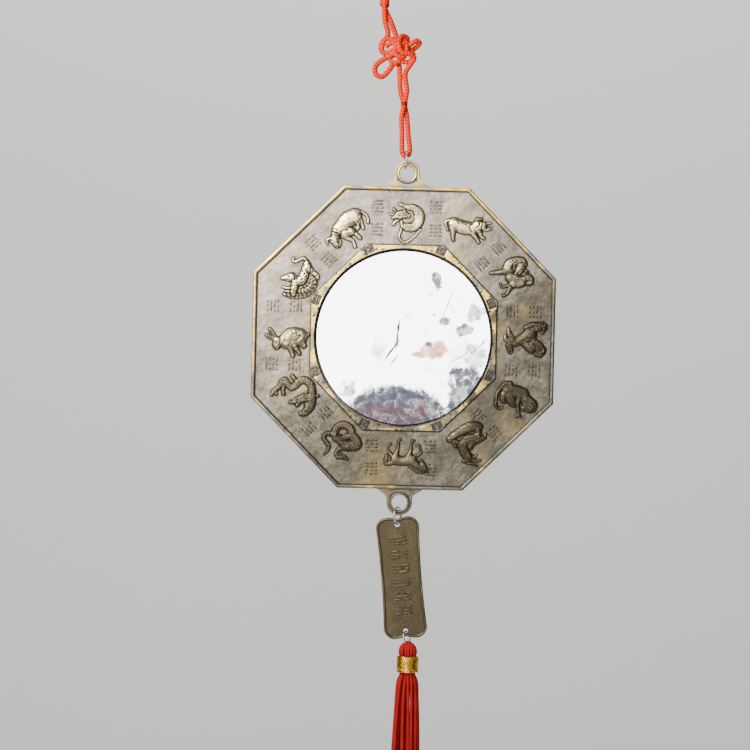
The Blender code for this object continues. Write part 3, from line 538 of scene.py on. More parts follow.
def strand_material(name, groups, lit, shade, roughness, contrast):
    made, graph, shader, place = new_material(name)
    # Lit and shaded colours of the strand: painted highlight on the braid's ridges, painted shade in its
    # crossings
    fibres = use_group(graph, groups["fibres"], {
        "Place": place, "Ridge": graph.times(read_value(graph, "ridge"), contrast),
        "Lit": (*lit, 1), "Shade": (*shade, 1)})
    graph.feed_all(shader, {
        "Base Color": fibres.outputs["Colour"], "Roughness": roughness, "Specular IOR Level": 0.08,
        "Normal": bump(graph, fibres.outputs["Height"], STRAND_FUZZ)})
    return made


def foil_material():
    """Gold foil thread, crinkled, with painted shade between its turns."""
    made, graph, shader, place = new_material("foil_thread")
    crinkle = graph.noise(place, 1300.0, 3.0, 0.6, 0.4)
    flake = graph.noise(place, 420.0, 2.0)
    # Painted shade in the grooves between the turns
    ridge = graph.fade(read_value(graph, "ridge"), -1.0, 0.2)
    colour = graph.blend(graph.fade(flake, 0.36, 0.60), (0.42, 0.20, 0.015, 1), (0.98, 0.62, 0.07, 1))
    graph.feed_all(shader, {
        "Base Color": graph.blend(ridge, (0.16, 0.07, 0.008, 1), colour), "Metallic": 1.0,
        "Roughness": graph.fade(crinkle, 0.3, 0.7, 0.18, 0.34), "Normal": bump(graph, crinkle, FOIL_CRINKLE)})
    return made


def make_materials():
    groups = {"scratches": scratch_group(), "smudge": smudge_group(), "casting": casting_group(),
              "fibres": fibre_group()}
    return {
        "band": cast_material("pewter_patina", groups, (0.34, 0.305, 0.240), (0.085, 0.074, 0.052),
                              (0.76, 0.50, 0.12), (0.012, 0.010, 0.007), 0.12),
        "figures": cast_material("bronze_relief", groups, (0.17, 0.138, 0.075), (0.062, 0.050, 0.027),
                                 (0.80, 0.65, 0.36), (0.012, 0.009, 0.005), 0.06),
        "plaque": cast_material("brown_patina", groups, (0.115, 0.088, 0.046), (0.068, 0.051, 0.026),
                                (0.34, 0.27, 0.14), (0.010, 0.007, 0.004), 0.08),
        "mirror": mirror_material(groups),
        "steel": steel_material(groups),
        "cord": strand_material("red_cord", groups, (0.74, 0.030, 0.001), (0.30, 0.005, 0.0005), 0.6, 1.0),
        "thread": strand_material("binding_thread", groups, (0.36, 0.010, 0.006), (0.10, 0.003, 0.002),
                                  0.6, 1.0),
        "yarn": strand_material("tassel_yarn", groups, (0.37, 0.013, 0.012), (0.085, 0.002, 0.002),
                                0.7, 0.45),
        "foil": foil_material(),
    }


# Meshes from rows of points

def close_normals(mesh):
    shape = bmesh.new()
    shape.from_mesh(mesh)
    bmesh.ops.recalc_face_normals(shape, faces=shape.faces)
    shape.to_mesh(mesh)
    shape.free()


def store_values(mesh, values):
    """Numbers for each point, by name."""
    for name, numbers in values.items():
        data = mesh.attributes.new(name, "FLOAT", "POINT").data
        data.foreach_set("value", np.asarray(numbers, dtype=np.float32))


def build(name, points, faces, material, sharp, values=None):
    """One closed mesh object; edges sharper than the given degrees stay sharp, and 0 smooths them all."""
    mesh = bpy.data.meshes.new(name)
    mesh.from_pydata(np.asarray(points).tolist(), [], faces)
    store_values(mesh, values or {})
    mesh.materials.append(material)
    close_normals(mesh)
    mesh.shade_smooth()
    if sharp:
        mesh.set_sharp_from_angle(angle=math.radians(sharp))
    return link_object(name, mesh)


def row_faces(rows, columns, first=0, looped=False):
    """Quads between closed rows; flat caps at both ends unless the stack is looped."""
    count = rows if looped else rows - 1
    row, column = np.meshgrid(np.arange(count), np.arange(columns), indexing="ij")
    upper = (row + 1) % rows
    onward = (column + 1) % columns
    quads = np.stack([row * columns + column, row * columns + onward,
                      upper * columns + onward, upper * columns + column], -1).reshape(-1, 4) + first
    faces = quads.tolist()
    if not looped:
        faces.append([first + k for k in range(columns)][::-1])
        faces.append([first + (rows - 1) * columns + k for k in range(columns)])
    return faces


def soft_noise(x, z, size, seed, waves=14):
    """Smooth random values of about -1 to 1 whose features have the given size."""
    dice = np.random.default_rng(seed)
    total = np.zeros(np.broadcast(x, z).shape)
    for _ in range(waves):
        heading = dice.uniform(0, 2 * np.pi)
        rate = 2 * np.pi / size * dice.uniform(0.5, 1.4)
        total += np.cos(rate * (x * np.cos(heading) + z * np.sin(heading)) + dice.uniform(0, 2 * np.pi))
    return total / math.sqrt(waves)


def finish_piece(piece, node=None):
    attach(piece, "root")
    if node:
        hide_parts(node)


# Figures of the relief, in millimetres: limbs as chains of (x, z, half width), then eyes and cuts;
# the first value says how far the high places are brightened, partly as wear and partly as painted light that
# is stronger on the upper figures

def arc(x, z, radius, start, end, first, last, steps):
    stations = []
    for k in range(steps + 1):
        angle = math.radians(start + (end - start) * k / steps)
        width = first + (last - first) * k / steps
        stations.append((x + radius * math.cos(angle), z + radius * math.sin(angle), width))
    return stations


def rat():
    return {
        "rubbed_and_lit": 0.90,
        "limbs": [
            ("fur", [(-3.0, 6.6, 1.0), (-0.6, 5.8, 1.0)] + arc(1.6, 0.3, 5.0, 100, 20, 1.4, 2.6, 3)
             + arc(1.8, -0.2, 4.6, -10, -100, 2.7, 2.2, 3) + [(-0.8, -4.4, 1.8)]),
            ("smooth", [(-2.2, -2.0, 0.8), (-2.3, -5.0, 0.7), (-2.6, -7.2, 0.7)]
             + arc(-0.3, -9.1, 3.0, 165, 310, 0.7, 0.6, 6) + [(4.0, -9.6, 0.55), (7.4, -5.4, 0.4)]),
            ("smooth", [(-2.8, -0.4, 0.9), (-5.2, -1.9, 0.7), (-6.2, -3.3, 0.9)]),
            ("smooth", [(-3.6, 2.0, 0.8), (-5.2, 3.2, 0.7), (-6.2, 4.0, 0.9)]),
            ("fur", [(1.2, 1.0, 1.2), (-2.4, 1.6, 2.3), (-5.0, 0.4, 1.2), (-6.6, -0.2, 0.7)]),
            ("smooth", [(-1.6, 2.8, 0.8), (-0.9, 3.4, 0.9)]),
            ("smooth", [(-5.4, 1.2, 0.5), (-8.0, 1.6, 0.6)]),
        ],
        "eyes": [(-3.6, 1.4, 0.45)],
        "cuts": [[(-6.2, -0.9), (-4.6, -0.6)]],
    }


def ox():
    return {
        "rubbed_and_lit": 1.00,
        "limbs": [
            ("smooth", [(5.6, 11.0, 0.9), (9.2, 9.4, 0.8), (10.8, 7.4, 0.7), (11.0, 5.2, 0.9)]),
            ("smooth", [(5.2, 6.6, 2.0), (6.2, 3.4, 1.1), (5.6, 1.8, 0.9)]),
            ("smooth", [(6.6, 7.6, 1.4), (7.8, 4.6, 1.0), (8.6, 2.2, 0.9)]),
            ("hide", [(-2.6, 2.2, 3.6), (1.2, 6.4, 4.2), (4.2, 8.6, 3.6)]),
            ("smooth", [(0.6, -2.4, 1.5), (3.6, -4.0, 1.0), (4.8, -7.0, 0.9)]),
            ("smooth", [(2.4, 1.0, 1.7), (5.2, -0.8, 1.2), (7.2, -2.6, 1.0)]),
            ("hide", [(-0.4, -0.6, 2.8), (2.6, 0.6, 2.2)]),
            ("folds", [(-4.2, 2.0, 2.5), (-5.0, -0.6, 2.3), (-5.2, -2.6, 2.2)]),
            ("smooth", [(-5.6, -4.0, 2.3), (-4.2, -6.4, 1.6)]),
            ("smooth", [(-7.2, -3.0, 0.9), (-9.2, -4.0, 0.8), (-9.0, -6.2, 0.45)]),
            ("smooth", [(-3.6, -3.2, 0.9), (-2.4, -5.2, 0.8), (-3.0, -7.4, 0.45)]),
        ],
        "eyes": [(-6.6, -4.2, 0.4), (-4.2, -4.0, 0.4), (-4.9, -6.9, 0.3), (-3.9, -6.8, 0.3)],
        "cuts": [[(-5.4, -7.6), (-3.4, -7.3)], [(-7.2, 0.2), (-3.6, -0.6)]],
    }


def tiger():
    return {
        "rubbed_and_lit": 0.78,
        "limbs": [
            ("smooth", [(3.0, 6.6, 1.2), (1.4, 8.4, 0.9), (-0.6, 7.8, 0.8), (-2.4, 6.8, 0.8),
                        (-3.9, 6.9, 0.7), (-3.8, 8.4, 0.7)]),
            ("rock", arc(-0.4, -1.9, 7.4, 5, -95, 1.7, 2.4, 5) + [(-4.4, -9.8, 2.0), (-7.6, -9.4, 1.2)]),
            ("rock", arc(0.2, -2.0, 5.0, -5, -85, 2.2, 2.4, 3)),
            ("spots", [(3.6, 3.8, 2.2), (6.0, 1.6, 1.3), (8.0, 0.2, 1.2), (8.5, -1.2, 0.9)]),
            ("smooth", [(-3.4, -6.4, 1.3), (-6.4, -6.6, 0.9), (-8.6, -6.0, 0.7)]),
            ("smooth", [(-4.4, -8.2, 0.9), (-7.6, -8.0, 0.6)]),
            ("spots", [(-2.6, -3.6, 2.2), (-3.0, -6.6, 2.0), (-3.4, -9.2, 1.4)]),
            ("spots", [(-2.0, -3.4, 2.3), (0.6, -2.0, 2.6), (2.0, 1.4, 2.4), (3.0, 5.2, 2.2)]),
            ("smooth", [(-4.4, -1.0, 2.4), (-6.4, -1.3, 1.8), (-9.2, -1.7, 0.9)]),
        ],
        "eyes": [(-5.8, -0.4, 0.4)],
        "cuts": [[(-9.4, -2.0), (-7.8, -2.5), (-6.2, -2.3)], [(-3.4, 0.8), (-2.6, -0.6), (-3.0, -2.4)]],
    }


def rabbit():
    return {
        "rubbed_and_lit": 0.58,
        "limbs": [
            ("smooth", [(11.2, -0.6, 1.2), (12.3, 0.4, 1.1)]),
            ("smooth", [(-4.2, -0.8, 1.0), (-6.0, 1.8, 1.2), (-6.8, 3.0, 0.8)]),
            ("smooth", [(-5.0, -1.8, 1.0), (-7.2, -0.9, 1.1), (-8.4, -0.2, 0.7)]),
            ("smooth", [(5.6, -5.4, 1.7), (7.6, -7.8, 1.2), (8.2, -9.1, 1.1)]),
            ("tufts", [(1.6, -3.0, 4.0), (4.6, -1.2, 5.0), (7.8, -0.8, 4.4)]),
            ("smooth", [(3.4, -6.0, 1.6), (4.6, -8.6, 1.2), (5.0, -10.1, 1.2)]),
            ("tufts", [(8.2, -2.6, 2.4), (10.2, -4.6, 1.6), (10.2, -5.2, 1.4)]),
            ("smooth", [(-2.9, -3.0, 2.4), (-3.1, -4.8, 2.2), (-3.2, -6.4, 1.3)]),
        ],
        "eyes": [(-3.6, -3.7, 0.5)],
        "cuts": [[(-4.6, -0.9), (-6.4, 2.2)], [(-5.4, -1.7), (-7.8, -0.6)], [(-3.9, -6.9), (-2.9, -6.5)]],
    }


def dragon():
    return {
        "rubbed_and_lit": 0.30,
        "limbs": [
            ("smooth", [(-10.8, 2.2, 0.9), (-10.6, 0.2, 0.7)]),
            ("smooth", [(-6.8, 6.0, 1.2), (-7.4, 2.8, 1.0), (-7.1, 0.6, 1.1)]),
            ("smooth", [(-0.6, 6.6, 1.4), (-3.0, 9.6, 1.1)]),
            ("scales", [(-13.0, 0.1, 0.9), (-11.6, 2.2, 1.2), (-9.4, 4.0, 1.2), (-8.2, 6.6, 1.3),
                        (-6.6, 7.8, 1.4), (-5.2, 5.6, 1.7), (-3.4, 3.8, 1.7), (-1.2, 5.0, 1.8),
                        (1.0, 7.2, 1.9), (4.0, 7.4, 2.0), (6.4, 5.2, 2.0), (7.0, 2.0, 2.1), (6.8, -2.0, 2.4),
                        (6.2, -5.6, 2.2), (4.0, -8.2, 1.9), (2.0, -9.0, 1.4)]),
            ("smooth", [(4.6, -4.4, 1.6), (4.4, -6.4, 1.3)]),
            ("smooth", [(8.0, -0.4, 0.8), (9.8, 0.0, 1.0)]),
            ("mane", [(6.0, -1.0, 2.3), (3.0, -1.2, 2.3), (0.0, -2.4, 1.9), (-1.8, -3.2, 1.5),
                      (-3.8, -3.4, 0.9)]),
            ("smooth", [(1.0, -3.4, 1.1), (-0.4, -5.1, 0.9)]),
            ("smooth", [(2.4, 0.4, 0.7), (4.6, 1.8, 0.5)]),
        ],
        "eyes": [(-0.6, -2.0, 0.45), (-3.4, -3.0, 0.3)],
        "cuts": [[(-4.2, -3.9), (-1.6, -4.2), (0.2, -3.7)]],
    }


def snake():
    return {
        "rubbed_and_lit": 0.22,
        "limbs": [
            ("scales", [(-3.0, 2.4, 1.5), (-6.4, 3.4, 1.2), (-8.2, 2.4, 1.2), (-8.3, 0.6, 1.1),
                        (-6.8, -1.4, 1.1), (-5.8, -3.4, 1.0), (-6.6, -5.4, 0.8), (-8.0, -7.2, 0.5)]),
            ("scales", [(3.6, -3.4, 2.0), (0.4, -3.8, 1.3), (-1.6, -5.0, 1.0), (-2.2, -6.8, 0.9),
                        (-1.2, -8.3, 0.9), (1.4, -8.4, 0.9), (3.6, -9.2, 0.6)]),
            ("smooth", [(-0.4, -6.2, 0.45), (2.6, -7.8, 0.5)]),
            ("scales", arc(1.2, 3.4, 4.3, 215, -10, 1.9, 2.0, 7)
             + [(6.6, 1.6, 2.4), (8.0, -1.6, 2.7), (5.6, -2.6, 2.6), (2.4, -2.0, 2.2), (-0.6, 0.2, 2.0),
                (-2.6, 2.0, 1.8)]),
            ("smooth", [(4.4, 1.8, 1.2), (2.8, 1.8, 1.7), (0.8, 1.2, 1.3), (-0.3, 2.4, 0.9)]),
        ],
        "eyes": [(1.8, 2.1, 0.4)],
        "cuts": [[(-0.4, 1.6), (1.4, 0.8)]],
    }


def horse():
    return {
        "rubbed_and_lit": 0.75,
        "limbs": [
            ("smooth", [(-3.8, 0.6, 1.3), (-5.6, 2.8, 0.7), (-6.2, 4.6, 0.55), (-5.6, 6.6, 0.6),
                        (-4.8, 6.8, 0.45)]),
            ("smooth", [(7.0, 0.6, 1.2), (8.6, 1.6, 0.65), (10.2, 2.8, 0.6), (9.6, 5.2, 0.55),
                        (9.2, 6.6, 0.55), (7.8, 6.4, 0.45)]),
            ("mane", [(-4.0, -2.2, 1.2), (-6.6, -3.0, 1.0), (-7.4, -1.4, 1.0), (-6.8, 1.0, 0.7)]),
            ("hide", [(-2.4, -1.0, 2.6), (1.4, -1.5, 2.3), (5.4, -0.8, 2.6)]),
            ("smooth", [(-2.4, 0.4, 1.8), (-1.8, 3.0, 1.0), (-1.2, 5.0, 0.65), (-1.0, 8.6, 0.6),
                        (0.0, 8.9, 0.5)]),
            ("smooth", [(4.2, 0.8, 1.7), (5.0, 3.6, 0.9), (5.2, 6.0, 0.65), (5.8, 8.6, 0.6),
                        (6.8, 8.8, 0.45)]),
            ("smooth", [(5.6, -1.2, 2.4), (9.0, -4.0, 1.9), (11.6, -5.4, 1.5)]),
            ("mane", [(4.8, -4.0, 0.7), (8.4, -6.2, 0.9), (12.0, -6.9, 0.6)]),
            ("smooth", [(12.3, -5.0, 1.4), (11.2, -3.0, 1.25), (10.4, -1.2, 0.9)]),
            ("smooth", [(13.0, -6.2, 0.5), (13.8, -6.9, 0.4)]),
        ],
        "eyes": [(12.2, -4.2, 0.4), (10.5, -1.4, 0.25)],
        "cuts": [[(9.6, -1.4), (10.6, -2.2)]],
    }


def goat():
    return {
        "rubbed_and_lit": 0.22,
        "limbs": [
            ("smooth", [(-5.8, 1.2, 1.1), (-2.8, 1.0, 1.0), (0.2, -0.8, 1.5)]),
            ("smooth", [(-3.8, 0.4, 0.9), (-2.6, -1.6, 0.9)]),
            ("smooth", [(9.4, 2.6, 1.8), (11.6, 3.2, 1.0), (12.2, 4.8, 0.6)]),
            ("wool", [(-5.6, 2.0, 1.6), (-2.2, 4.6, 2.0), (2.4, 7.4, 2.4), (6.4, 8.8, 2.5), (9.0, 8.6, 1.9)]),
            ("smooth", [(8.4, 7.0, 2.0), (8.6, 4.4, 1.7)]),
            ("wool", [(7.6, 2.6, 2.8), (3.8, 2.0, 2.6), (1.6, 0.0, 2.4)]),
            ("smooth", [(5.6, 0.2, 1.7), (4.6, -1.8, 1.4)]),
            ("smooth", [(5.4, -5.8, 0.9), (7.0, -6.8, 0.7), (7.9, -5.8, 0.5)]),
            ("smooth", [(5.4, -7.9, 0.8), (7.8, -8.4, 0.65), (9.8, -8.2, 0.5)]),
            ("smooth", [(3.2, -9.4, 0.8), (6.2, -10.2, 0.65), (8.2, -10.9, 0.5)]),
            ("wool", [(0.6, -1.6, 2.2), (1.8, -4.2, 2.4), (3.2, -6.0, 2.4)]),
            ("smooth", [(4.2, -6.8, 2.1), (2.4, -8.6, 1.3), (1.6, -8.8, 1.0)]),
        ],
        "eyes": [(3.3, -7.6, 0.4)],
        "cuts": [[(0.9, -9.2), (2.2, -9.4)]],
    }


def monkey():
    return {
        "rubbed_and_lit": 0.15,
        "limbs": [
            ("fur", [(2.0, 8.2, 1.5), (-0.6, 8.2, 1.2), (-2.6, 6.4, 1.0), (-4.2, 3.6, 0.9), (-5.0, 0.4, 0.9),
                     (-4.9, -2.4, 0.9), (-3.4, -4.0, 0.8), (-1.8, -3.4, 0.7)]),
            ("smooth", [(-1.0, 2.8, 2.0), (-1.6, 0.4, 1.5), (-1.0, -0.4, 1.3)]),
            ("fur", [(0.6, 5.0, 2.8), (4.8, 4.6, 3.2), (8.6, 3.6, 2.8)]),
            ("fur", [(1.6, 2.4, 2.6), (3.0, -0.6, 2.2), (3.8, -2.2, 1.2)]),
            ("smooth", [(7.0, 2.6, 1.7), (6.0, -1.0, 1.2), (6.1, -4.0, 0.9), (6.6, -6.6, 0.9)]),
            ("smooth", [(5.4, -8.0, 0.6), (6.4, -6.9, 0.8), (7.6, -7.9, 0.6)]),
            ("fur", [(10.0, 0.8, 2.8), (11.8, -2.0, 4.0)]),
            ("smooth", [(8.4, -3.4, 1.0), (8.3, -4.4, 0.9)]),
            ("smooth", [(12.0, -1.6, 2.2), (12.2, -3.6, 1.9)]),
            ("smooth", [(12.1, -2.4, 0.7), (12.2, -4.2, 1.0)]),
        ],
        "eyes": [(11.0, -1.5, 0.5), (13.1, -1.7, 0.5)],
        "cuts": [[(10.9, -4.3), (12.2, -4.8), (13.4, -4.3)], [(12.0, -2.4), (12.1, -3.3)]],
    }


def rooster():
    return {
        "rubbed_and_lit": 0.20,
        "limbs": [
            ("plumes", [(-5.2, 0.2, 1.6), (-7.0, 3.2, 1.3), (-7.6, 6.0, 0.7)]),
            ("plumes", [(-7.0, -2.6, 1.8), (-6.4, -5.6, 1.2)]),
            ("plumes", [(-4.6, -1.0, 2.2), (-8.6, 0.4, 1.1), (-9.0, 2.2, 0.7)]),
            ("smooth", [(6.4, -6.4, 1.2), (8.6, -6.6, 1.5), (10.2, -5.2, 1.2)]),
            ("smooth", [(10.2, 6.0, 1.0), (9.4, 4.0, 0.7)]),
            ("smooth", [(10.6, 8.4, 0.8), (11.8, 6.4, 0.5)]),
            ("feathers", [(1.6, 6.2, 1.7), (4.2, 8.0, 1.4), (7.4, 7.8, 1.6), (9.8, 7.0, 1.7)]),
            ("feathers", [(-3.2, -0.6, 2.0), (0.4, 1.2, 3.0), (3.2, 3.0, 3.4)]),
            ("feathers", [(4.0, 5.2, 2.0), (7.8, 6.2, 1.2)]),
            ("plumes", [(5.0, -0.8, 2.4), (7.4, -3.0, 2.8), (9.4, -4.2, 2.0)]),
            ("feathers", [(1.2, -1.6, 2.2), (3.4, -3.4, 2.4), (4.0, -5.0, 1.4)]),
            ("smooth", [(8.2, 9.0, 0.6), (9.6, 9.3, 0.6)]),
        ],
        "eyes": [(10.0, 7.3, 0.4)],
        "cuts": [[(10.8, 6.9), (11.6, 6.6)], [(-0.8, 0.0), (2.0, 1.4), (4.4, 1.2)]],
    }


def dog():
    return {
        "rubbed_and_lit": 0.80,
        "limbs": [
            ("fur", [(8.2, 1.0, 1.9), (10.0, 1.3, 2.1), (10.6, -0.3, 1.9), (9.4, -1.2, 1.4)]),
            ("smooth", [(2.0, -1.6, 2.2), (0.6, -4.2, 1.2), (-0.6, -6.6, 0.8), (-2.6, -7.7, 0.9)]),
            ("smooth", [(0.9, -2.2, 0.9), (-2.2, -3.2, 0.7), (-3.7, -3.3, 0.6), (-4.0, -1.9, 0.6)]),
            ("fur", [(1.0, 1.4, 2.8), (3.6, -0.2, 3.5), (5.4, -0.4, 3.2)]),
            ("smooth", [(0.4, 4.6, 2.2), (-4.0, 4.0, 1.3), (-9.0, 3.4, 0.9)]),
            ("fur", [(-0.8, 5.8, 2.4), (0.2, 8.4, 2.4), (3.0, 9.9, 2.0), (6.4, 9.8, 1.9), (7.8, 8.0, 1.3)]),
            ("smooth", [(8.0, 5.2, 0.9), (9.2, 4.2, 0.7), (9.6, 5.0, 0.4)]),
            ("smooth", [(6.2, 7.2, 2.2), (5.4, 5.6, 2.3), (3.9, 3.8, 1.2)]),
            ("smooth", [(5.6, 9.0, 0.8), (2.8, 7.4, 0.9), (2.6, 5.2, 0.6)]),
        ],
        "eyes": [(6.4, 6.2, 0.4)],
        "cuts": [[(3.4, 2.9), (4.6, 3.6), (5.4, 4.4)]],
    }


def pig():
    return {
        "rubbed_and_lit": 0.95,
        "limbs": [
            ("smooth", [(-8.2, 7.4, 0.8), (-10.0, 6.6, 0.7), (-10.0, 4.6, 0.6), (-9.0, 2.4, 0.6)]),
            ("smooth", [(6.6, 1.6, 1.4), (7.6, -0.4, 0.9), (8.9, -1.3, 0.9)]),
            ("hide", [(-5.8, 5.6, 3.2), (-2.0, 4.0, 3.5), (2.0, 3.4, 3.2), (5.0, 3.8, 3.0)]),
            ("smooth", [(-6.4, 3.4, 2.1), (-6.4, 0.0, 1.2), (-6.2, -2.5, 0.9)]),
            ("smooth", [(3.6, 1.2, 1.8), (5.4, -1.6, 1.1), (6.4, -3.3, 0.9)]),
            ("smooth", [(5.2, 8.2, 0.9), (7.6, 8.2, 0.8)]),
            ("smooth", [(9.0, 3.0, 1.1), (12.2, 3.4, 0.5)]),
            ("folds", [(5.6, 5.4, 2.6), (8.2, 4.8, 2.2)]),
            ("smooth", [(8.8, 5.8, 1.0), (12.0, 6.4, 0.6)]),
            ("smooth", [(3.4, 4.8, 1.5), (5.2, 5.8, 1.4)]),
        ],
        "eyes": [(7.9, 5.5, 0.4)],
        "cuts": [[(9.4, 4.4), (11.0, 4.6)], [(2.6, 1.8), (1.6, 4.0), (2.8, 5.8)]],
    }


# Counter-clockwise on the face, from the top
FIGURES = (rat, ox, tiger, rabbit, dragon, snake, horse, goat, monkey, rooster, dog, pig)


def figure_centre(place):
    angle = math.pi / 2 + place * math.pi / 6
    return FIGURE_RADIUS / MM * math.cos(angle), FIGURE_RADIUS / MM * math.sin(angle)


def smooth_stations(stations, steps=4):
    """Stations on a smooth curve through the given ones."""
    if len(stations) < 3:
        return stations
    knots = [np.array(s, dtype=float) for s in stations]
    knots = [2 * knots[0] - knots[1]] + knots + [2 * knots[-1] - knots[-2]]
    smooth = []
    for a, b, c, d in zip(knots, knots[1:], knots[2:], knots[3:]):
        for k in range(steps):
            t = k / steps
            smooth.append(0.5 * (2 * b + (c - a) * t + (2 * a - 5 * b + 4 * c - d) * t ** 2
                                 + (3 * b - a - 3 * c + d) * t ** 3))
    return smooth + [knots[-2]]


def follow(stations, x, z):
    """Signed distance from the limb's line, length along it and half width there, for each point."""
    best = np.full(x.shape, np.inf)
    across, along, radius = np.zeros(x.shape), np.zeros(x.shape), np.ones(x.shape)
    walked = 0.0
    for first, second in zip(stations, stations[1:]):
        step_x, step_z = second[0] - first[0], second[1] - first[1]
        length = max(math.hypot(step_x, step_z), 1e-6)
        t = np.clip(((x - first[0]) * step_x + (z - first[1]) * step_z) / length ** 2, 0, 1)
        off_x, off_z = x - first[0] - t * step_x, z - first[1] - t * step_z
        gap = np.hypot(off_x, off_z)
        width = first[2] + (second[2] - first[2]) * t
        nearer = gap - width < best
        best = np.where(nearer, gap - width, best)
        side = np.sign(step_x * off_z - step_z * off_x)
        across = np.where(nearer, gap * side, across)
        along = np.where(nearer, walked + t * length, along)
        radius = np.where(nearer, width, radius)
        walked += length
    return across, along, radius


def skin(kind, along, across, radius):
    """Small raised pattern of a limb's surface, in millimetres."""
    if kind == "fur":
        return 0.10 * np.sin(2 * np.pi * across / 0.85 + 1.8 * np.sin(along / 1.1))
    if kind == "tufts":
        return 0.18 * np.sin(2 * np.pi * (along + 0.5 * across) / 1.1 + 1.4 * np.sin(across * 1.3)) \
            * (0.6 + 0.4 * np.sin(across * 1.9 + along * 0.8))
    if kind == "hide":
        return 0.05 * np.sin(along * 1.3 + across) * np.sin(across * 1.7)
    if kind == "folds":
        return 0.11 * np.sin(2 * np.pi * along / 1.3)
    if kind == "spots":
        return -0.42 * np.clip(2.2 * np.cos(2.1 * along + across) * np.cos(2.3 * across) - 0.9, 0, 1)
    if kind == "rock":
        bend = 1.2 * np.sin(across * 1.6)
        return 0.12 * np.sin(2 * np.pi * along / 1.9 + bend) + 0.06 * np.sin(across * 4.0)
    if kind == "scales":
        first = np.abs(np.sin(np.pi * (along + across) / 1.25))
        second = np.abs(np.sin(np.pi * (along - across) / 1.25))
        return 0.40 * np.sqrt(np.minimum(first, second)) - 0.26
    if kind == "feathers":
        return 0.16 * np.mod((along + 0.55 * across ** 2 / radius) / 1.45, 1.0) - 0.07
    if kind == "plumes":
        return 0.12 * np.cos(2 * np.pi * across / 0.95 + 0.25 * along)
    if kind == "mane":
        return 0.13 * np.sin(2 * np.pi * across / 0.8 + 1.1 * np.sin(along / 1.4))
    if kind == "wool":
        return 0.10 * np.sin(2 * np.pi * (across + 0.35 * along) / 1.15 + 1.6 * np.sin(along / 0.9))
    return np.zeros(along.shape)


def distance_to_path(path, x, z):
    nearest = np.full(x.shape, np.inf)
    for (x1, z1), (x2, z2) in zip(path, path[1:]):
        length = (x2 - x1) ** 2 + (z2 - z1) ** 2
        t = np.clip(((x - x1) * (x2 - x1) + (z - z1) * (z2 - z1)) / length, 0, 1)
        nearest = np.minimum(nearest, np.hypot(x - x1 - t * (x2 - x1), z - z1 - t * (z2 - z1)))
    return nearest


def carve(figure, x, z):
    """Height of the relief over the ground, in millimetres; negative outside the figure."""
    height = np.full(x.shape, -9.0)
    for kind, stations in figure["limbs"]:
        across, along, radius = follow(smooth_stations(stations), x, z)
        share = np.abs(across) / radius
        edge = np.abs(across) - radius
        crown = RELIEF * (1 - np.exp(-radius / RELIEF_SOFT)) * (ROCK_SHARE if kind == "rock" else 1)
        inside = np.clip(1 - share ** 5, 0, 1)
        dome = np.where(share < 1, crown * np.clip(1 - share ** 2.4, 0, 1) ** 0.6, -EDGE_FALL * edge)
        dome = dome + skin(kind, along, across, radius) * inside
        free = np.clip((along - 0.3) / LIMB_ROOT, 0, 1)
        groove = LIMB_GROOVE * free * np.exp(-((edge - 0.16) / 0.17) ** 2)
        over = np.where(height > 0, height - groove + LIMB_LIFT * free * inside, height)
        height = (over + dome + np.sqrt((over - dome) ** 2 + LIMB_BLEND ** 2)) / 2
    for path in figure["cuts"]:
        gap = distance_to_path(path, x, z)
        height = np.where(height > 0, height - CUT_DEEP * np.exp(-(gap / CUT_WIDE) ** 2), height)
    for eye_x, eye_z, size in figure["eyes"]:
        gap = np.hypot(x - eye_x, z - eye_z) / size
        height = height + EYE_BULGE * np.sqrt(np.clip(1 - gap ** 2, 0, 1))
        height = height - EYE_GROOVE * np.exp(-((gap - 1.35) / 0.3) ** 2)
    return height


def outline_gap(figure, x, z):
    """Distance from the figure's outline, negative inside."""
    gap = np.full(x.shape, 9.0)
    for _, stations in figure["limbs"]:
        across, _, radius = follow(smooth_stations(stations, 2), x, z)
        gap = np.minimum(gap, np.abs(across) - radius)
    return gap


def blur(field, width):
    for _ in range(2):
        for axis in (0, 1):
            field = sum(np.roll(field, k, axis) for k in range(-width, width + 1)) / (2 * width + 1)
    return field


def join_corners(cells):
    """Marks a cell more where two touch at a corner alone, so that the shell has no pinched edge."""
    for _ in range(4):
        a, b, c, d = cells[:-1, :-1], cells[:-1, 1:], cells[1:, :-1], cells[1:, 1:]
        crossed = (a & d & ~b & ~c) | (b & c & ~a & ~d)
        cells[:-1, :-1] |= crossed
        cells[1:, 1:] |= crossed
        cells[:-1, 1:] |= crossed
    return cells


def shell_faces(cells):
    """Quads over the marked cells of a grid of points, the same behind them, and the walls between."""
    rows, columns = cells.shape[0] + 1, cells.shape[1] + 1
    behind = rows * columns
    numbers = np.arange(behind).reshape(rows, columns)
    quads = np.stack([numbers[:-1, :-1], numbers[:-1, 1:], numbers[1:, 1:], numbers[1:, :-1]], -1)[cells]
    steps = np.concatenate([quads[:, [k, (k + 1) % 4]] for k in range(4)])
    keys = steps.min(1) * behind + steps.max(1)
    _, first_seen, seen = np.unique(keys, return_index=True, return_counts=True)
    border = steps[first_seen[seen == 1]]
    walls = np.stack([border[:, 1], border[:, 0], border[:, 0] + behind, border[:, 1] + behind], -1)
    return np.concatenate([quads, quads[:, ::-1] + behind, walls])


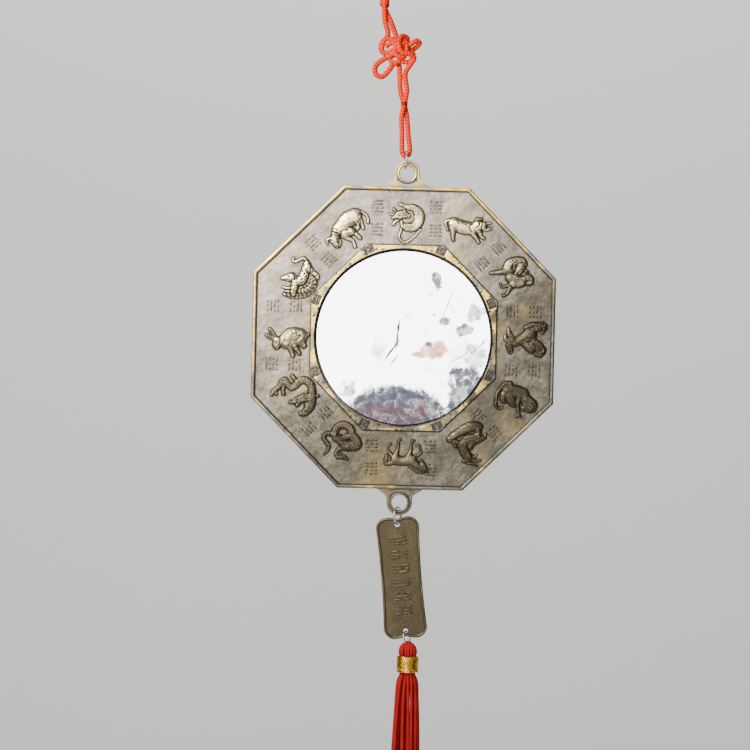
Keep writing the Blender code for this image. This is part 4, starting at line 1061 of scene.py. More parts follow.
def relief_finish(level, rubbed_and_lit):
    """Wear of the high places, and darkening of the low ones from the height over the ground: patina and
    painted shade in the hollows and at the foot, painted shade on the steep sides.
    """
    hollow = np.clip((blur(level, 3) - level) / 0.15, 0, 1)
    raised = np.clip((level - blur(level, 4)) / 0.15, 0, 1)
    tall = np.clip((level - 0.85) / 0.7, 0, 1)
    steep = np.clip((np.hypot(*np.gradient(level, CELL)) - 0.7) / 1.3, 0, 1)
    flat = np.clip(1 - level / 0.4, 0, 1)
    wear = np.clip(0.66 * tall + 0.50 * raised + 0.04 - 1.1 * hollow - 0.6 * steep, 0, 1)
    # Patina and painted shade in the hollows and at the foot, painted shade on the steep sides
    grime_and_shade = np.clip(1.5 * hollow + 0.38 * steep + 0.45 * flat, 0, 1)
    return {"wear": wear * rubbed_and_lit + 0.12 * raised, "grime_and_shade": grime_and_shade}


def make_figure(name, figure, place, material):
    """One animal as its own relief, its root let into the ground of the band."""
    stations = np.array([s for _, limb in figure["limbs"] for s in limb])
    edge = stations[:, 2].max() + 1.0
    low, high = stations[:, :2].min(0) - edge, stations[:, :2].max(0) + edge
    x, z = np.meshgrid(np.arange(low[0], high[0], CELL), np.arange(low[1], high[1], CELL))
    height = carve(figure, x, z) + UNEVEN * soft_noise(x, z, 1.2, place)
    shown = height > -SUNK * 0.6
    cells = join_corners(shown[:-1, :-1] | shown[1:, :-1] | shown[:-1, 1:] | shown[1:, 1:])
    height = np.maximum(height, -SUNK)
    values = relief_finish(np.maximum(height, 0), figure["rubbed_and_lit"])
    centre_x, centre_z = figure_centre(place)
    front = np.stack([(x + centre_x) * MM, GROUND_Y - height * MM, CENTRE_Z + (z + centre_z) * MM], -1)
    front = front.reshape(-1, 3)
    back = front.copy()
    back[:, 1] = GROUND_Y + ROOT * MM
    used, faces = np.unique(shell_faces(cells), return_inverse=True)
    values = {label: np.tile(field.reshape(-1), 2)[used] for label, field in values.items()}
    points = np.concatenate([front, back])[used]
    piece = build(name, points, faces.reshape(-1, 4).tolist(), material, 0, values)
    finish_piece(piece)


# Cast plate with its rim, bezel, seat and lugs

COLUMNS_A_SIDE = 104
STROKE_OUT = (53.6, 65.0)
STROKE_ASIDE = 14.5
STROKE_PATCH = 3.6
STROKE_LEAN = 0.09
BEZEL_ROWS = 14
BAND_ROWS = 46
RIM_ROWS = 10
TRIGRAM_RADIUS = 46.9
TRIGRAM_HALF = (2.6, 2.1)
TRIGRAM_SUNK = 0.28 * MM


def octagon_columns(count):
    """Points of an octagon with apothem 1."""
    share = -1 + 2 * np.arange(count) / count
    facing = np.arange(8) * np.pi / 4
    out = np.stack([np.cos(facing), np.sin(facing)], -1)
    along = np.stack([-np.sin(facing), np.cos(facing)], -1)
    return (out[:, None] + math.tan(math.pi / 8) * share[None, :, None] * along[:, None]).reshape(-1, 2)


def octagon_reach(x, z):
    """Apothem of the octagon through each point."""
    facing = np.arange(8) * np.pi / 4
    return np.max([x * math.cos(a) + z * math.sin(a) for a in facing], axis=0)


def stroke_spots():
    """Two pairs on level and upright sides, one pair on slanting ones: (facing, x, z) in millimetres."""
    spots = []
    for side in range(8):
        facing = side * math.pi / 4
        for aside in ((0.0,) if side % 2 else (-STROKE_ASIDE, STROKE_ASIDE)):
            for out in STROKE_OUT:
                spots.append((facing, out * math.cos(facing) + aside * math.sin(facing),
                              out * math.sin(facing) - aside * math.cos(facing)))
    return spots


def trigram_patch(x, z):
    """1 inside the eight small sunk fields at the bezel's corners, in millimetres."""
    angle = np.arctan2(z, x)
    corner = np.pi / 8 + np.round((angle - np.pi / 8) / (np.pi / 4)) * np.pi / 4
    outward = x * np.cos(corner) + z * np.sin(corner) - TRIGRAM_RADIUS
    aside = z * np.cos(corner) - x * np.sin(corner)
    return (np.clip((TRIGRAM_HALF[0] - np.abs(aside)) / 0.35, 0, 1)
            * np.clip((TRIGRAM_HALF[1] - np.abs(outward)) / 0.35, 0, 1))


def plate_rows():
    """Rows from the seat's floor over bezel, band and rim to the back: (share of octagon, size, y)."""
    half = ACROSS_FLATS / 2
    rows = [(0, 0.2 * SEAT_RADIUS, SEAT_Y), (0, SEAT_RADIUS, SEAT_Y), (0, SEAT_RADIUS, BEZEL_Y + 0.3 * MM),
            (0, SEAT_RADIUS + 0.07 * MM, BEZEL_Y + 0.08 * MM), (0, SEAT_RADIUS + 0.22 * MM, BEZEL_Y)]
    start, end = SEAT_RADIUS + 0.22 * MM, BEZEL_APOTHEM - 0.22 * MM
    rows += [(k / BEZEL_ROWS, start + (end - start) * k / BEZEL_ROWS, BEZEL_Y)
             for k in range(1, BEZEL_ROWS + 1)]
    rows += [(1, BEZEL_APOTHEM - 0.06 * MM, BEZEL_Y + 0.08 * MM),
             (1, BEZEL_APOTHEM + 0.02 * MM, BEZEL_Y + 0.3 * MM),
             (1, BEZEL_APOTHEM + 0.10 * MM, GROUND_Y - 0.12 * MM), (1, BEZEL_APOTHEM + 0.30 * MM, GROUND_Y)]
    start, end = BEZEL_APOTHEM + 0.6 * MM, RIM_APOTHEM - 0.5 * MM
    rows += [(1, start + (end - start) * k / BAND_ROWS, GROUND_Y) for k in range(BAND_ROWS + 1)]
    rows.append((1, RIM_APOTHEM - 0.15 * MM, GROUND_Y - 0.04 * MM))
    for k in range(RIM_ROWS + 1):
        angle = math.pi * k / RIM_ROWS
        reach = math.copysign(abs(math.cos(angle)) ** 0.7, math.cos(angle))
        rows.append((1, RIM_APOTHEM + RIM_WIDTH / 2 * (1 - reach),
                     GROUND_Y - 0.2 * MM - (RIM_RISE - 0.2 * MM) * math.sin(angle) ** 0.55))
    inner = half - BACK_BORDER - BACK_RECESS
    floor = BACK_Y - BACK_RECESS
    rows += [(1, half, GROUND_Y + 0.3 * MM), (1, half, 0.0), (1, half, BACK_Y - SOFT_EDGE),
             (1, half - 0.12 * MM, BACK_Y - 0.12 * MM), (1, half - SOFT_EDGE, BACK_Y),
             (1, half - BACK_BORDER + 0.2 * MM, BACK_Y), (1, half - BACK_BORDER, BACK_Y - 0.1 * MM)]
    rows += [(1, inner * share, floor) for share in (1.0, 0.8, 0.6, 0.4, 0.2)]
    return rows


def plate_points():
    columns = octagon_columns(COLUMNS_A_SIDE)
    round_columns = columns / np.linalg.norm(columns, axis=1, keepdims=True)
    layers = []
    for share, size, y in plate_rows():
        flat = size * (share * columns + (1 - share) * round_columns)
        layers.append(np.column_stack([flat[:, 0], np.full(len(flat), y), flat[:, 1]]))
    return np.stack(layers)


def lug_outline(steps):
    """Distance of the lug's edge from the middle of its eye, for each direction."""
    radius = EYE_HOLE / 2 + EYE_WALL
    meet = math.radians(-12)
    outline = [(radius * math.cos(a), EYE_REACH + radius * math.sin(a))
               for a in np.linspace(math.pi / 2, meet, 40)]
    end = (SHOULDER_HALF, 0.25 * MM)
    hold = (radius + 0.3 * MM, 1.6 * MM)
    start = outline[-1]
    outline += [((1 - t) ** 2 * start[0] + 2 * t * (1 - t) * hold[0] + t * t * end[0],
                 (1 - t) ** 2 * start[1] + 2 * t * (1 - t) * hold[1] + t * t * end[1])
                for t in np.linspace(0.05, 1, 24)]
    outline += [(SHOULDER_HALF + 0.1 * MM, -RIM_WIDTH / 2), (0.0, -RIM_WIDTH / 2)]
    points = np.array(outline)
    lengths = np.concatenate([[0], np.cumsum(np.linalg.norm(np.diff(points, axis=0), axis=1))])
    walk = np.linspace(0, lengths[-1], 400)
    x, z = np.interp(walk, lengths, points[:, 0]), np.interp(walk, lengths, points[:, 1]) - EYE_REACH
    bearing = np.arctan2(x, z)
    wanted = np.linspace(-np.pi, np.pi, steps, endpoint=False)
    return wanted, np.interp(np.abs(wanted), bearing, np.hypot(x, z))


def lug_points(side, steps=144):
    """Rows round the eye: its hole, collar, face, edge and back."""
    bearing, reach = lug_outline(steps)
    hole = EYE_HOLE / 2
    face_y = GROUND_Y + 0.03 * MM
    rows = [(hole + 0.15 * MM, BACK_Y), (hole, BACK_Y - 0.2 * MM), (hole, GROUND_Y)]
    for k in range(7):
        angle = math.pi * k / 6
        rows.append((hole + COLLAR_WIDTH / 2 * (1 - math.cos(angle)),
                     GROUND_Y - COLLAR_RISE * math.sin(angle) ** 0.8))
    collar = hole + COLLAR_WIDTH + 0.2 * MM
    rows.append((collar, face_y))
    rows += [(collar + share * (reach - SOFT_EDGE - collar), face_y) for share in (0.3, 0.6, 0.85)]
    rows += [(reach - SOFT_EDGE, face_y), (reach - 0.12 * MM, GROUND_Y + 0.13 * MM),
             (reach, GROUND_Y + 0.42 * MM), (reach, BACK_Y - SOFT_EDGE),
             (reach - 0.12 * MM, BACK_Y - 0.12 * MM), (reach - SOFT_EDGE, BACK_Y)]
    points = np.stack([np.column_stack([radius * np.sin(bearing), np.full(steps, y),
                                        radius * np.cos(bearing) + EYE_REACH]) for radius, y in rows])
    points[..., 2] += ACROSS_FLATS / 2
    if side < 0:
        points[..., [0, 2]] *= -1
    return points


def band_grime_and_shade(x, z, band, reach):
    """Darkening round the figures and at the feet of the bezel and the rim, partly patina and partly painted
    shade in these creases, and dark patches where the strokes stand.
    """
    gap = np.full(x.shape, 9.0)
    for place, make in enumerate(FIGURES):
        centre_x, centre_z = figure_centre(place)
        near = band & (np.hypot(x - centre_x, z - centre_z) < 19)
        gap[near] = np.minimum(gap[near], outline_gap(make(), x[near] - centre_x, z[near] - centre_z))
    # Patina and painted shade in the creases round the figures, at the bezel's foot and at the rim's foot
    grime_and_shade = 0.78 * np.exp(-(np.maximum(gap, 0) / 0.5) ** 2)
    grime_and_shade = np.maximum(grime_and_shade, np.exp(-(reach - BEZEL_APOTHEM / MM) / 0.7))
    grime_and_shade = np.maximum(grime_and_shade, np.exp(-(RIM_APOTHEM / MM - reach) / 0.6))
    for _, spot_x, spot_z in stroke_spots():
        away = np.hypot(x - spot_x, z - spot_z)
        grime_and_shade = np.maximum(grime_and_shade, np.clip((STROKE_PATCH + 0.8 - away) / 1.6, 0, 1) * 0.34)
    return np.where(band, grime_and_shade, 0)


def plate_values(points):
    """Wear, patina and painted shade of the plate, from where each point lies; places in millimetres from the
    centre.
    """
    x, y, z = points[:, 0] / MM, points[:, 1], points[:, 2] / MM
    bezel_out, rim_in, seat_out = BEZEL_APOTHEM / MM, RIM_APOTHEM / MM, SEAT_RADIUS / MM
    reach = octagon_reach(x, z)
    radius = np.hypot(x, z)
    front = y < GROUND_Y + 0.25 * MM
    grime_and_shade = band_grime_and_shade(x, z, front & (reach > bezel_out) & (reach < rim_in + 0.1), reach)

    bezel = front & (reach < bezel_out) & (radius > seat_out)
    patch = trigram_patch(x, z)
    brink = np.exp(-((bezel_out - reach) / 0.35) ** 2) * 0.55
    spots = np.clip(1.6 * soft_noise(x, z, 2.4, 33) - 1.1, 0, 0.85)
    spots = np.maximum(0.62 * patch, np.maximum(brink, spots))
    grime_and_shade = np.where(bezel, np.maximum(grime_and_shade, spots), grime_and_shade)
    # Painted shadow round the glass in its seat, deepest at the top and faint at the bottom, as cast by light
    # from above
    seat = (y < BACK_Y - BACK_RECESS - 0.1 * MM) & (radius < seat_out + 0.05)
    grime_and_shade = np.where(seat, np.interp(z, (-40, 5), (0.3, 0.95)), grime_and_shade)
    wear = np.where(bezel & (y < BEZEL_Y + 0.3 * MM), 0.95 - 0.9 * patch, 0)
    wear = np.where(front & (reach > rim_in) & (y < GROUND_Y - 0.55 * MM), 0.74, wear)

    lug = reach > ACROSS_FLATS / 2 / MM + 0.05
    from_eye = np.hypot(x, np.abs(z) - (ACROSS_FLATS / 2 + EYE_REACH) / MM)
    foot = np.exp(-((from_eye - (EYE_HOLE / 2 + COLLAR_WIDTH) / MM - 0.15) / 0.3) ** 2)
    wear = np.where(lug & front, 0.45, wear)
    wear = np.where(lug & (y < GROUND_Y - 0.1 * MM), 0.8, wear)
    # Patina and painted shade in the crease at the collar's foot, and painted shade on the wall of the eye
    grime_and_shade = np.where(lug & front, np.maximum(grime_and_shade, foot * 0.8), grime_and_shade)
    grime_and_shade = np.where(lug & (from_eye < EYE_HOLE / 2 / MM + 0.05), 0.95, grime_and_shade)
    wear = wear * np.clip(0.85 + 0.28 * soft_noise(x, z, 9.0, 21), 0, 1.2)
    return {"wear": np.clip(wear, 0, 1), "grime_and_shade": np.clip(grime_and_shade, 0, 1)}


def make_plate(material):
    layers = plate_points()
    x, z = layers[..., 0] / MM, layers[..., 2] / MM
    reach = octagon_reach(x, z)
    front = layers[..., 1] < GROUND_Y + 0.25 * MM
    bezel = front & (np.hypot(x, z) > SEAT_RADIUS / MM + 0.05) & (reach < BEZEL_APOTHEM / MM - 0.1)
    rim = front & (reach > RIM_APOTHEM / MM)
    layers[..., 1] += np.where(bezel, TRIGRAM_SUNK * trigram_patch(x, z), 0)
    layers[..., 1] += np.where(rim, 0.06 * MM * soft_noise(x, z, 6.0, 3), 0)
    layers[..., 1] += np.where(front & ~rim, 0.025 * MM * soft_noise(x, z, 4.0, 5), 0)
    points, faces = layers.reshape(-1, 3), row_faces(*layers.shape[:2])
    for side in (1, -1):
        lug = lug_points(side)
        faces += row_faces(*lug.shape[:2], first=len(points), looped=True)
        points = np.concatenate([points, lug.reshape(-1, 3)])
    values = plate_values(points)
    points[:, 2] += CENTRE_Z
    plate = build("mirror_frame_cast", points, faces, material, 50, values)
    finish_piece(plate, "mirror_frame")


# Raised strokes, set by a node tree on points that carry their heading and size

# Width of a group in millimetres, its rows and their pitch
BAND_DASHES = (7.0, 4, 1.75)
PLAQUE_DASHES = (9.0, 3, 1.6)

# Place along a bar and length of each part of a whole and of a broken bar, in millimetres
WHOLE_BAR = ((0.0, 3.5),)
BROKEN_BAR = ((-0.98, 1.5), (0.98, 1.5))
BAR_PITCH = 1.15


def read_number(graph, name):
    node = graph.add("GeometryNodeInputNamedAttribute", {"Name": name}, data_type="FLOAT")
    return node.outputs["Attribute"]


def store_number(graph, shape, name, value):
    node = graph.add("GeometryNodeStoreNamedAttribute", {"Geometry": shape, "Name": name, "Value": value},
                     data_type="FLOAT", domain="POINT")
    return node.outputs["Geometry"]


def finished(graph, shape, finish):
    """The shape made real, smooth and given its material."""
    whole = graph.add("GeometryNodeRealizeInstances", {"Geometry": shape})
    smooth = graph.add("GeometryNodeSetShadeSmooth", {"Geometry": whole.outputs["Geometry"]})
    node = graph.add("GeometryNodeSetMaterial", {"Geometry": smooth.outputs["Geometry"], "Material": finish})
    return node.outputs["Geometry"]


def stroke_tree():
    graph, given, result = new_group("raised_strokes", "GeometryNodeTree", [
        ("Places", SHAPE, None), ("Stroke Height", NUMBER, 0.0003), ("Roundness", WHOLE, 2),
        ("Finish", FINISH, None),
    ], [("Strokes", SHAPE)])
    cube = graph.add("GeometryNodeMeshCube")
    soft = graph.add("GeometryNodeSubdivisionSurface", {
        "Mesh": cube.outputs["Mesh"], "Level": given.outputs["Roundness"], "Edge Crease": 0.35})
    turn = graph.add("ShaderNodeCombineXYZ", {"Y": read_number(graph, "heading")})
    spin = graph.add("FunctionNodeEulerToRotation", {"Euler": turn.outputs[0]})
    size = graph.add("ShaderNodeCombineXYZ", {
        "X": read_number(graph, "length"), "Y": graph.times(given.outputs["Stroke Height"], 2.0),
        "Z": read_number(graph, "width")})
    placed = graph.add("GeometryNodeInstanceOnPoints", {
        "Points": given.outputs["Places"], "Instance": soft.outputs["Mesh"], "Rotation": spin.outputs[0],
        "Scale": size.outputs[0]})
    graph.feed_all(result, {"Strokes": finished(graph, placed.outputs["Instances"], given.outputs["Finish"])})
    return graph.tree


def grow(name, tree, mesh, sizes):
    """Runs a node tree on a mesh of points or edges and keeps the plain result."""
    holder = link_object(name, mesh)
    step = holder.modifiers.new("grow", "NODES")
    step.node_group = tree
    for item in tree.interface.items_tree:
        if item.in_out == "INPUT" and item.name in sizes:
            step[item.identifier] = sizes[item.name]
    evaluated = holder.evaluated_get(bpy.context.evaluated_depsgraph_get())
    grown = bpy.data.meshes.new_from_object(evaluated)
    holder.modifiers.clear()
    holder.data = grown
    close_normals(grown)
    grown.shade_smooth()
    return holder


def set_strokes(tree, name, strokes, material, rise, roundness, wear, grime_and_shade):
    """One piece from strokes of (x, y, z, heading, length, width), in metres and radians."""
    mesh = bpy.data.meshes.new(name)
    mesh.from_pydata([stroke[:3] for stroke in strokes], [], [])
    store_values(mesh, {"wear": [wear] * len(strokes), "grime_and_shade": [grime_and_shade] * len(strokes)})
    store_values(mesh, dict(zip(("heading", "length", "width"), np.array(strokes)[:, 3:].T)))
    piece = grow(name, tree, mesh, {"Stroke Height": rise, "Roundness": roundness, "Finish": material})
    finish_piece(piece)


def stroke_group(dice, wide, rows, pitch):
    """Rows of short dashes: (aside, up, length) in millimetres."""
    dashes = []
    for row in range(rows):
        up = ((rows - 1) / 2 - row) * pitch
        count = int(dice.integers(1, 4))
        if count < 3:
            cuts = np.sort(dice.uniform(0.25, 0.75, count - 1))
        else:
            cuts = np.array([0.33, 0.67]) + dice.uniform(-0.06, 0.06, 2)
        stops = np.concatenate([[0], cuts, [1]]) * wide - wide / 2
        for start, end in zip(stops, stops[1:]):
            dashes.append(((start + end) / 2, up + dice.uniform(-0.08, 0.08), (end - start) - 0.65))
    return dashes


def make_band_strokes(tree, material):
    dice = np.random.default_rng(12)
    strokes = []
    for facing, spot_x, spot_z in stroke_spots():
        for aside, up, length in stroke_group(dice, *BAND_DASHES):
            x = spot_x + up * math.cos(facing) + aside * math.sin(facing)
            z = spot_z + up * math.sin(facing) - aside * math.cos(facing)
            heading = math.pi / 2 - facing + dice.uniform(-STROKE_LEAN, STROKE_LEAN)
            strokes.append((x * MM, GROUND_Y, CENTRE_Z + z * MM, heading, length * MM, 0.95 * MM))
    set_strokes(tree, "band_strokes", strokes, material, 0.30 * MM, 1, 0.0, 0.45)


def make_trigrams(tree, material):
    """Three whole or broken bars at each corner of the bezel."""
    strokes = []
    for k in range(8):
        angle = math.pi / 8 + k * math.pi / 4
        for bar in range(3):
            radial = TRIGRAM_RADIUS + (bar - 1) * BAR_PITCH
            whole = (k >> bar) & 1
            for aside, length in WHOLE_BAR if whole else BROKEN_BAR:
                x = radial * math.cos(angle) + aside * math.sin(angle)
                z = radial * math.sin(angle) - aside * math.cos(angle)
                strokes.append((x * MM, BEZEL_Y + TRIGRAM_SUNK, CENTRE_Z + z * MM, math.pi / 2 - angle,
                                length * MM, 0.55 * MM))
    set_strokes(tree, "bezel_trigrams", strokes, material, 0.27 * MM, 1, 0.3, 0.2)


# Glass

def make_glass(material):
    radius = extent("mirror_glass", 0) / 2
    low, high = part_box("mirror_glass")
    front, back = low[1], high[1]
    columns = 192
    rows = [(0.25 * radius, front), (radius - 0.55 * MM, front), (radius - 0.1 * MM, front + 0.45 * MM),
            (radius, front + 0.6 * MM), (radius, back - 0.1 * MM), (radius - 0.1 * MM, back),
            (0.5 * radius, back)]
    turn = np.arange(columns) * 2 * np.pi / columns
    points = np.concatenate([
        np.column_stack([r * np.cos(turn), np.full(columns, y), CENTRE_Z + r * np.sin(turn)])
        for r, y in rows])
    glass = build("mirror_glass_disc", points, row_faces(len(rows), columns), material, 20)
    finish_piece(glass, "mirror_glass")


# Jump rings: round wire with a fine slit

RING_STEPS, RING_SIDES = 96, 16
RING_SLIT = 0.12 * MM

# Node, ring and wire in millimetres, turn and lean in degrees, where the slit is in radians
RINGS = (
    ("top_jump_ring", 8.4, 1.0, 8, 0, 0.9),
    ("middle_jump_ring", 8.4, 1.0, -22, 0, 2.6),
    ("tassel_jump_ring", 6.4, 0.8, -28, -12, 0.4),
)


def make_ring(node, across, wire, turn, lean, slit_at, material):
    slit = RING_SLIT / (across / 2)
    angles = slit_at + slit / 2 + np.linspace(0, 1, RING_STEPS) * (2 * np.pi - slit)
    tilt = np.arange(RING_SIDES) * 2 * np.pi / RING_SIDES
    aside, radius = wire / 2 * np.sin(tilt), across / 2 + wire / 2 * np.cos(tilt)
    layers = [np.column_stack([aside, radius * math.cos(angle), radius * math.sin(angle)])
              for angle in angles]
    turned = Matrix.Rotation(turn, 3, "Z") @ Matrix.Rotation(lean, 3, "Y")
    points = np.concatenate(layers) @ np.array(turned).T + np.array(middle(node))
    ring = build(node + "_wire", points, row_faces(RING_STEPS, RING_SIDES), material, 50)
    finish_piece(ring, node)


def make_rings(material):
    for node, across, wire, turn, lean, slit_at in RINGS:
        make_ring(node, across * MM, wire * MM, math.radians(turn), math.radians(lean), slit_at, material)


# Plaque

PLAQUE_LENGTH = 60.4 * MM
PLAQUE_WIDTH = 21.5 * MM
PLAQUE_WAIST = 20.0 * MM
PLAQUE_THICK = 1.8 * MM
PLAQUE_CORNER = 5.5 * MM
PLAQUE_NOTCH = 1.2 * MM
PLAQUE_BEAD = 1.3 * MM
PLAQUE_SUNK = 0.45 * MM
PLAQUE_HOLE = 2.5 * MM
PLAQUE_HOLE_INSET = 3.8 * MM
PLAQUE_LEAN = math.radians(5.9)
PLAQUE_BACK_EDGE = 0.25 * MM
PLAQUE_GROUPS = 6
FIRST_GROUP = 18.4
GROUP_PITCH = 6.9
PLAQUE_FRONT_ROWS = (0.02, 0.2, 0.4, 0.6, 0.74, 0.80, 0.83, 0.85, 0.87, 0.89, 0.91, 0.93, 0.95, 0.965, 0.98,
                     0.99, 1.0)
PLAQUE_BACK_ROWS = (1.0, 0.99, 0.97, 0.6, 0.3, 0.02)


def plaque_outline():
    """Two-lobed ends with a small notch between, and hollow sides; counter-clockwise from the right."""
    half_length, half_width = PLAQUE_LENGTH / 2, PLAQUE_WIDTH / 2
    corner = (half_width - PLAQUE_CORNER, half_length - PLAQUE_CORNER)
    crown = (corner[0] ** 2 + PLAQUE_NOTCH ** 2) / (2 * PLAQUE_NOTCH)
    sweep = math.asin(corner[0] / crown)
    quarter = [(corner[0] + PLAQUE_CORNER * math.cos(a), corner[1] + PLAQUE_CORNER * math.sin(a))
               for a in np.linspace(0, math.pi / 2, 20)]
    quarter += [(corner[0] - crown * math.sin(a), half_length - crown * (1 - math.cos(a)))
                for a in np.linspace(0, sweep, 12)[1:]]
    top = quarter + [(-x, z) for x, z in reversed(quarter[:-1])]
    side = []
    for share in np.linspace(1, -1, 42)[1:-1]:
        side.append((-(PLAQUE_WAIST + (PLAQUE_WIDTH - PLAQUE_WAIST) * share ** 2) / 2, corner[1] * share))
    half = top + side
    return np.array(half + [(-x, -z) for x, z in half])


def outline_distance(points, outline):
    nearest = np.full(len(points), np.inf)
    for start, end in zip(outline, np.roll(outline, -1, axis=0)):
        step = end - start
        t = np.clip((points - start) @ step / (step @ step), 0, 1)
        nearest = np.minimum(nearest, np.linalg.norm(points - start - t[:, None] * step, axis=1))
    return nearest


def plaque_place():
    return Matrix.Translation(middle("plaque")) @ Matrix.Rotation(-PLAQUE_LEAN, 4, "Y")


def drill_hole(plate, height):
    """Cuts a round hole through the plaque, still upright at the origin."""
    shape = bmesh.new()
    bmesh.ops.create_cone(shape, cap_ends=True, segments=40, radius1=PLAQUE_HOLE / 2, radius2=PLAQUE_HOLE / 2,
                          depth=4 * PLAQUE_THICK)
    shape.transform(Matrix.Translation((0, 0, height)) @ Matrix.Rotation(math.pi / 2, 4, "X"))
    mesh = bpy.data.meshes.new("drill")
    shape.to_mesh(mesh)
    shape.free()
    drill = link_object("drill", mesh)
    cut = plate.modifiers.new("hole", "BOOLEAN")
    cut.object, cut.operation, cut.solver = drill, "DIFFERENCE", "EXACT"
    drilled = bpy.data.meshes.new_from_object(plate.evaluated_get(bpy.context.evaluated_depsgraph_get()))
    plate.modifiers.clear()
    plate.data = drilled
    bpy.data.objects.remove(drill, do_unlink=True)


def plaque_stack(outline):
    """Rows from the middle of the face over the raised border to the middle of the back."""
    spine_half = PLAQUE_LENGTH / 2 - PLAQUE_WIDTH / 2
    spine = np.column_stack([np.zeros(len(outline)), np.clip(outline[:, 1], -spine_half, spine_half)])
    half = PLAQUE_THICK / 2
    layers = []
    for side, shares in ((-1, PLAQUE_FRONT_ROWS), (1, PLAQUE_BACK_ROWS)):
        for share in shares:
            flat = spine + (outline - spine) * share
            gap = outline_distance(flat, outline)
            if side < 0:
                bead = np.clip(gap / (PLAQUE_BEAD / 2), 0, 2) - 1
                level = half - PLAQUE_SUNK + PLAQUE_SUNK * np.sqrt(np.clip(1 - bead ** 2, 0, 1))
            else:
                level = half - PLAQUE_BACK_EDGE * np.clip(1 - gap / (0.3 * MM), 0, 1)
            layers.append(np.column_stack([flat[:, 0], side * level, flat[:, 1]]))
    return np.stack(layers)


def make_plaque(material):
    outline = plaque_outline()
    stack = plaque_stack(outline)
    plate = build("plaque_cast", stack.reshape(-1, 3), row_faces(*stack.shape[:2]), material, 0)
    span = PLAQUE_LENGTH / 2 - PLAQUE_HOLE_INSET
    drill_hole(plate, span)
    drill_hole(plate, -span)
    mesh = plate.data
    co = np.empty(len(mesh.vertices) * 3, dtype=np.float32)
    mesh.vertices.foreach_get("co", co)
    x, _, z = co.reshape(-1, 3).T
    gap = outline_distance(np.column_stack([x, z]), outline)
    hole = np.minimum(np.hypot(x, z - span), np.hypot(x, z + span)) - PLAQUE_HOLE / 2
    crest = np.exp(-((gap - 0.5 * PLAQUE_BEAD) / (0.42 * MM)) ** 2)
    foot = np.exp(-((gap - 1.15 * PLAQUE_BEAD) / (0.3 * MM)) ** 2)
    # Patina and painted shade in the crease at the bead's foot and round the holes
    store_values(mesh, {"wear": 0.95 * crest, "grime_and_shade": np.maximum(0.4 * foot, np.exp(-hole / (0.25 * MM)))})
    mesh.transform(plaque_place())
    mesh.shade_smooth()
    mesh.set_sharp_from_angle(angle=math.radians(45))
    finish_piece(plate, "plaque")


def make_plaque_strokes(tree, material):
    """Six small groups of dashes down the plaque."""
    dice = np.random.default_rng(30)
    place = plaque_place()
    strokes = []
    ground = -PLAQUE_THICK / 2 + PLAQUE_SUNK
    for k in range(PLAQUE_GROUPS):
        for aside, up, length in stroke_group(dice, *PLAQUE_DASHES):
            point = place @ Vector((aside * MM, ground, (FIRST_GROUP - GROUP_PITCH * k + up) * MM))
            heading = -PLAQUE_LEAN + dice.uniform(-STROKE_LEAN, STROKE_LEAN)
            strokes.append((*point, heading, length * MM, 0.9 * MM))
    set_strokes(tree, "plaque_strokes", strokes, material, 0.45 * MM, 2, 0.8, 0.0)


# Strands: cord, thread, foil and yarn, laid by one node tree along paths of edges

def strand_tree():
    graph, given, result = new_group("laid_strand", "GeometryNodeTree", [
        ("Paths", SHAPE, None), ("Strand Width", NUMBER, 0.002), ("Ring Spacing", NUMBER, 0.0004),
        ("Sides", WHOLE, 10), ("Lay Length", NUMBER, 0.0016), ("Starts", WHOLE, 2),
        ("Ridge Height", NUMBER, 0.0001), ("Braided", NUMBER, 0.0), ("Finish", FINISH, None),
    ], [("Strands", SHAPE)])
    curve = graph.add("GeometryNodeMeshToCurve", {"Mesh": given.outputs["Paths"]})
    fine = graph.add("GeometryNodeResampleCurve", {
        "Curve": curve.outputs["Curve"], "Length": given.outputs["Ring Spacing"]}, mode="LENGTH")
    ring = graph.add("GeometryNodeCurvePrimitiveCircle", {
        "Resolution": given.outputs["Sides"], "Radius": graph.times(given.outputs["Strand Width"], 0.5)})
    walked = graph.add("GeometryNodeSplineParameter").outputs
    line = store_number(graph, fine.outputs["Curve"], "along", walked["Length"])
    ring = store_number(graph, ring.outputs["Curve"], "round", walked["Factor"])
    tube = graph.add("GeometryNodeCurveToMesh", {
        "Curve": line, "Profile Curve": ring, "Scale": read_number(graph, "thickness"), "Fill Caps": True})
    turns = graph.calc("DIVIDE", read_number(graph, "along"), given.outputs["Lay Length"])
    lap = graph.times(read_number(graph, "round"), given.outputs["Starts"])
    twist, counter = (graph.calc("SINE", graph.times(phase, 2 * math.pi))
                      for phase in (graph.plus(turns, lap), graph.minus(turns, lap)))
    mix = graph.add("ShaderNodeMix", data_type="FLOAT")
    for place, value in ((0, given.outputs["Braided"]), (2, twist), (3, graph.times(twist, counter))):
        graph.feed(mix.inputs[place], value)
    ridge = mix.outputs[0]
    reach = graph.vector("SCALE", graph.add("GeometryNodeInputNormal").outputs["Normal"])
    graph.feed(reach.node.inputs["Scale"], graph.times(ridge, given.outputs["Ridge Height"]))
    raised = graph.add("GeometryNodeSetPosition", {
        "Geometry": store_number(graph, tube.outputs["Mesh"], "ridge", ridge), "Offset": reach})
    graph.feed_all(result, {"Strands": finished(graph, raised.outputs["Geometry"], given.outputs["Finish"])})
    return graph.tree


def path_mesh(name, paths, thickness=None):
    """Edges along each path; thickness is a share of the strand's width at each point."""
    mesh = bpy.data.meshes.new(name)
    points, edges = [], []
    for path in paths:
        first = len(points)
        points += [tuple(p) for p in path]
        edges += [(first + k, first + k + 1) for k in range(len(path) - 1)]
    mesh.from_pydata(points, edges, [])
    even = np.ones(len(points))
    store_values(mesh, {"thickness": even if thickness is None else np.concatenate(thickness)})
    return mesh


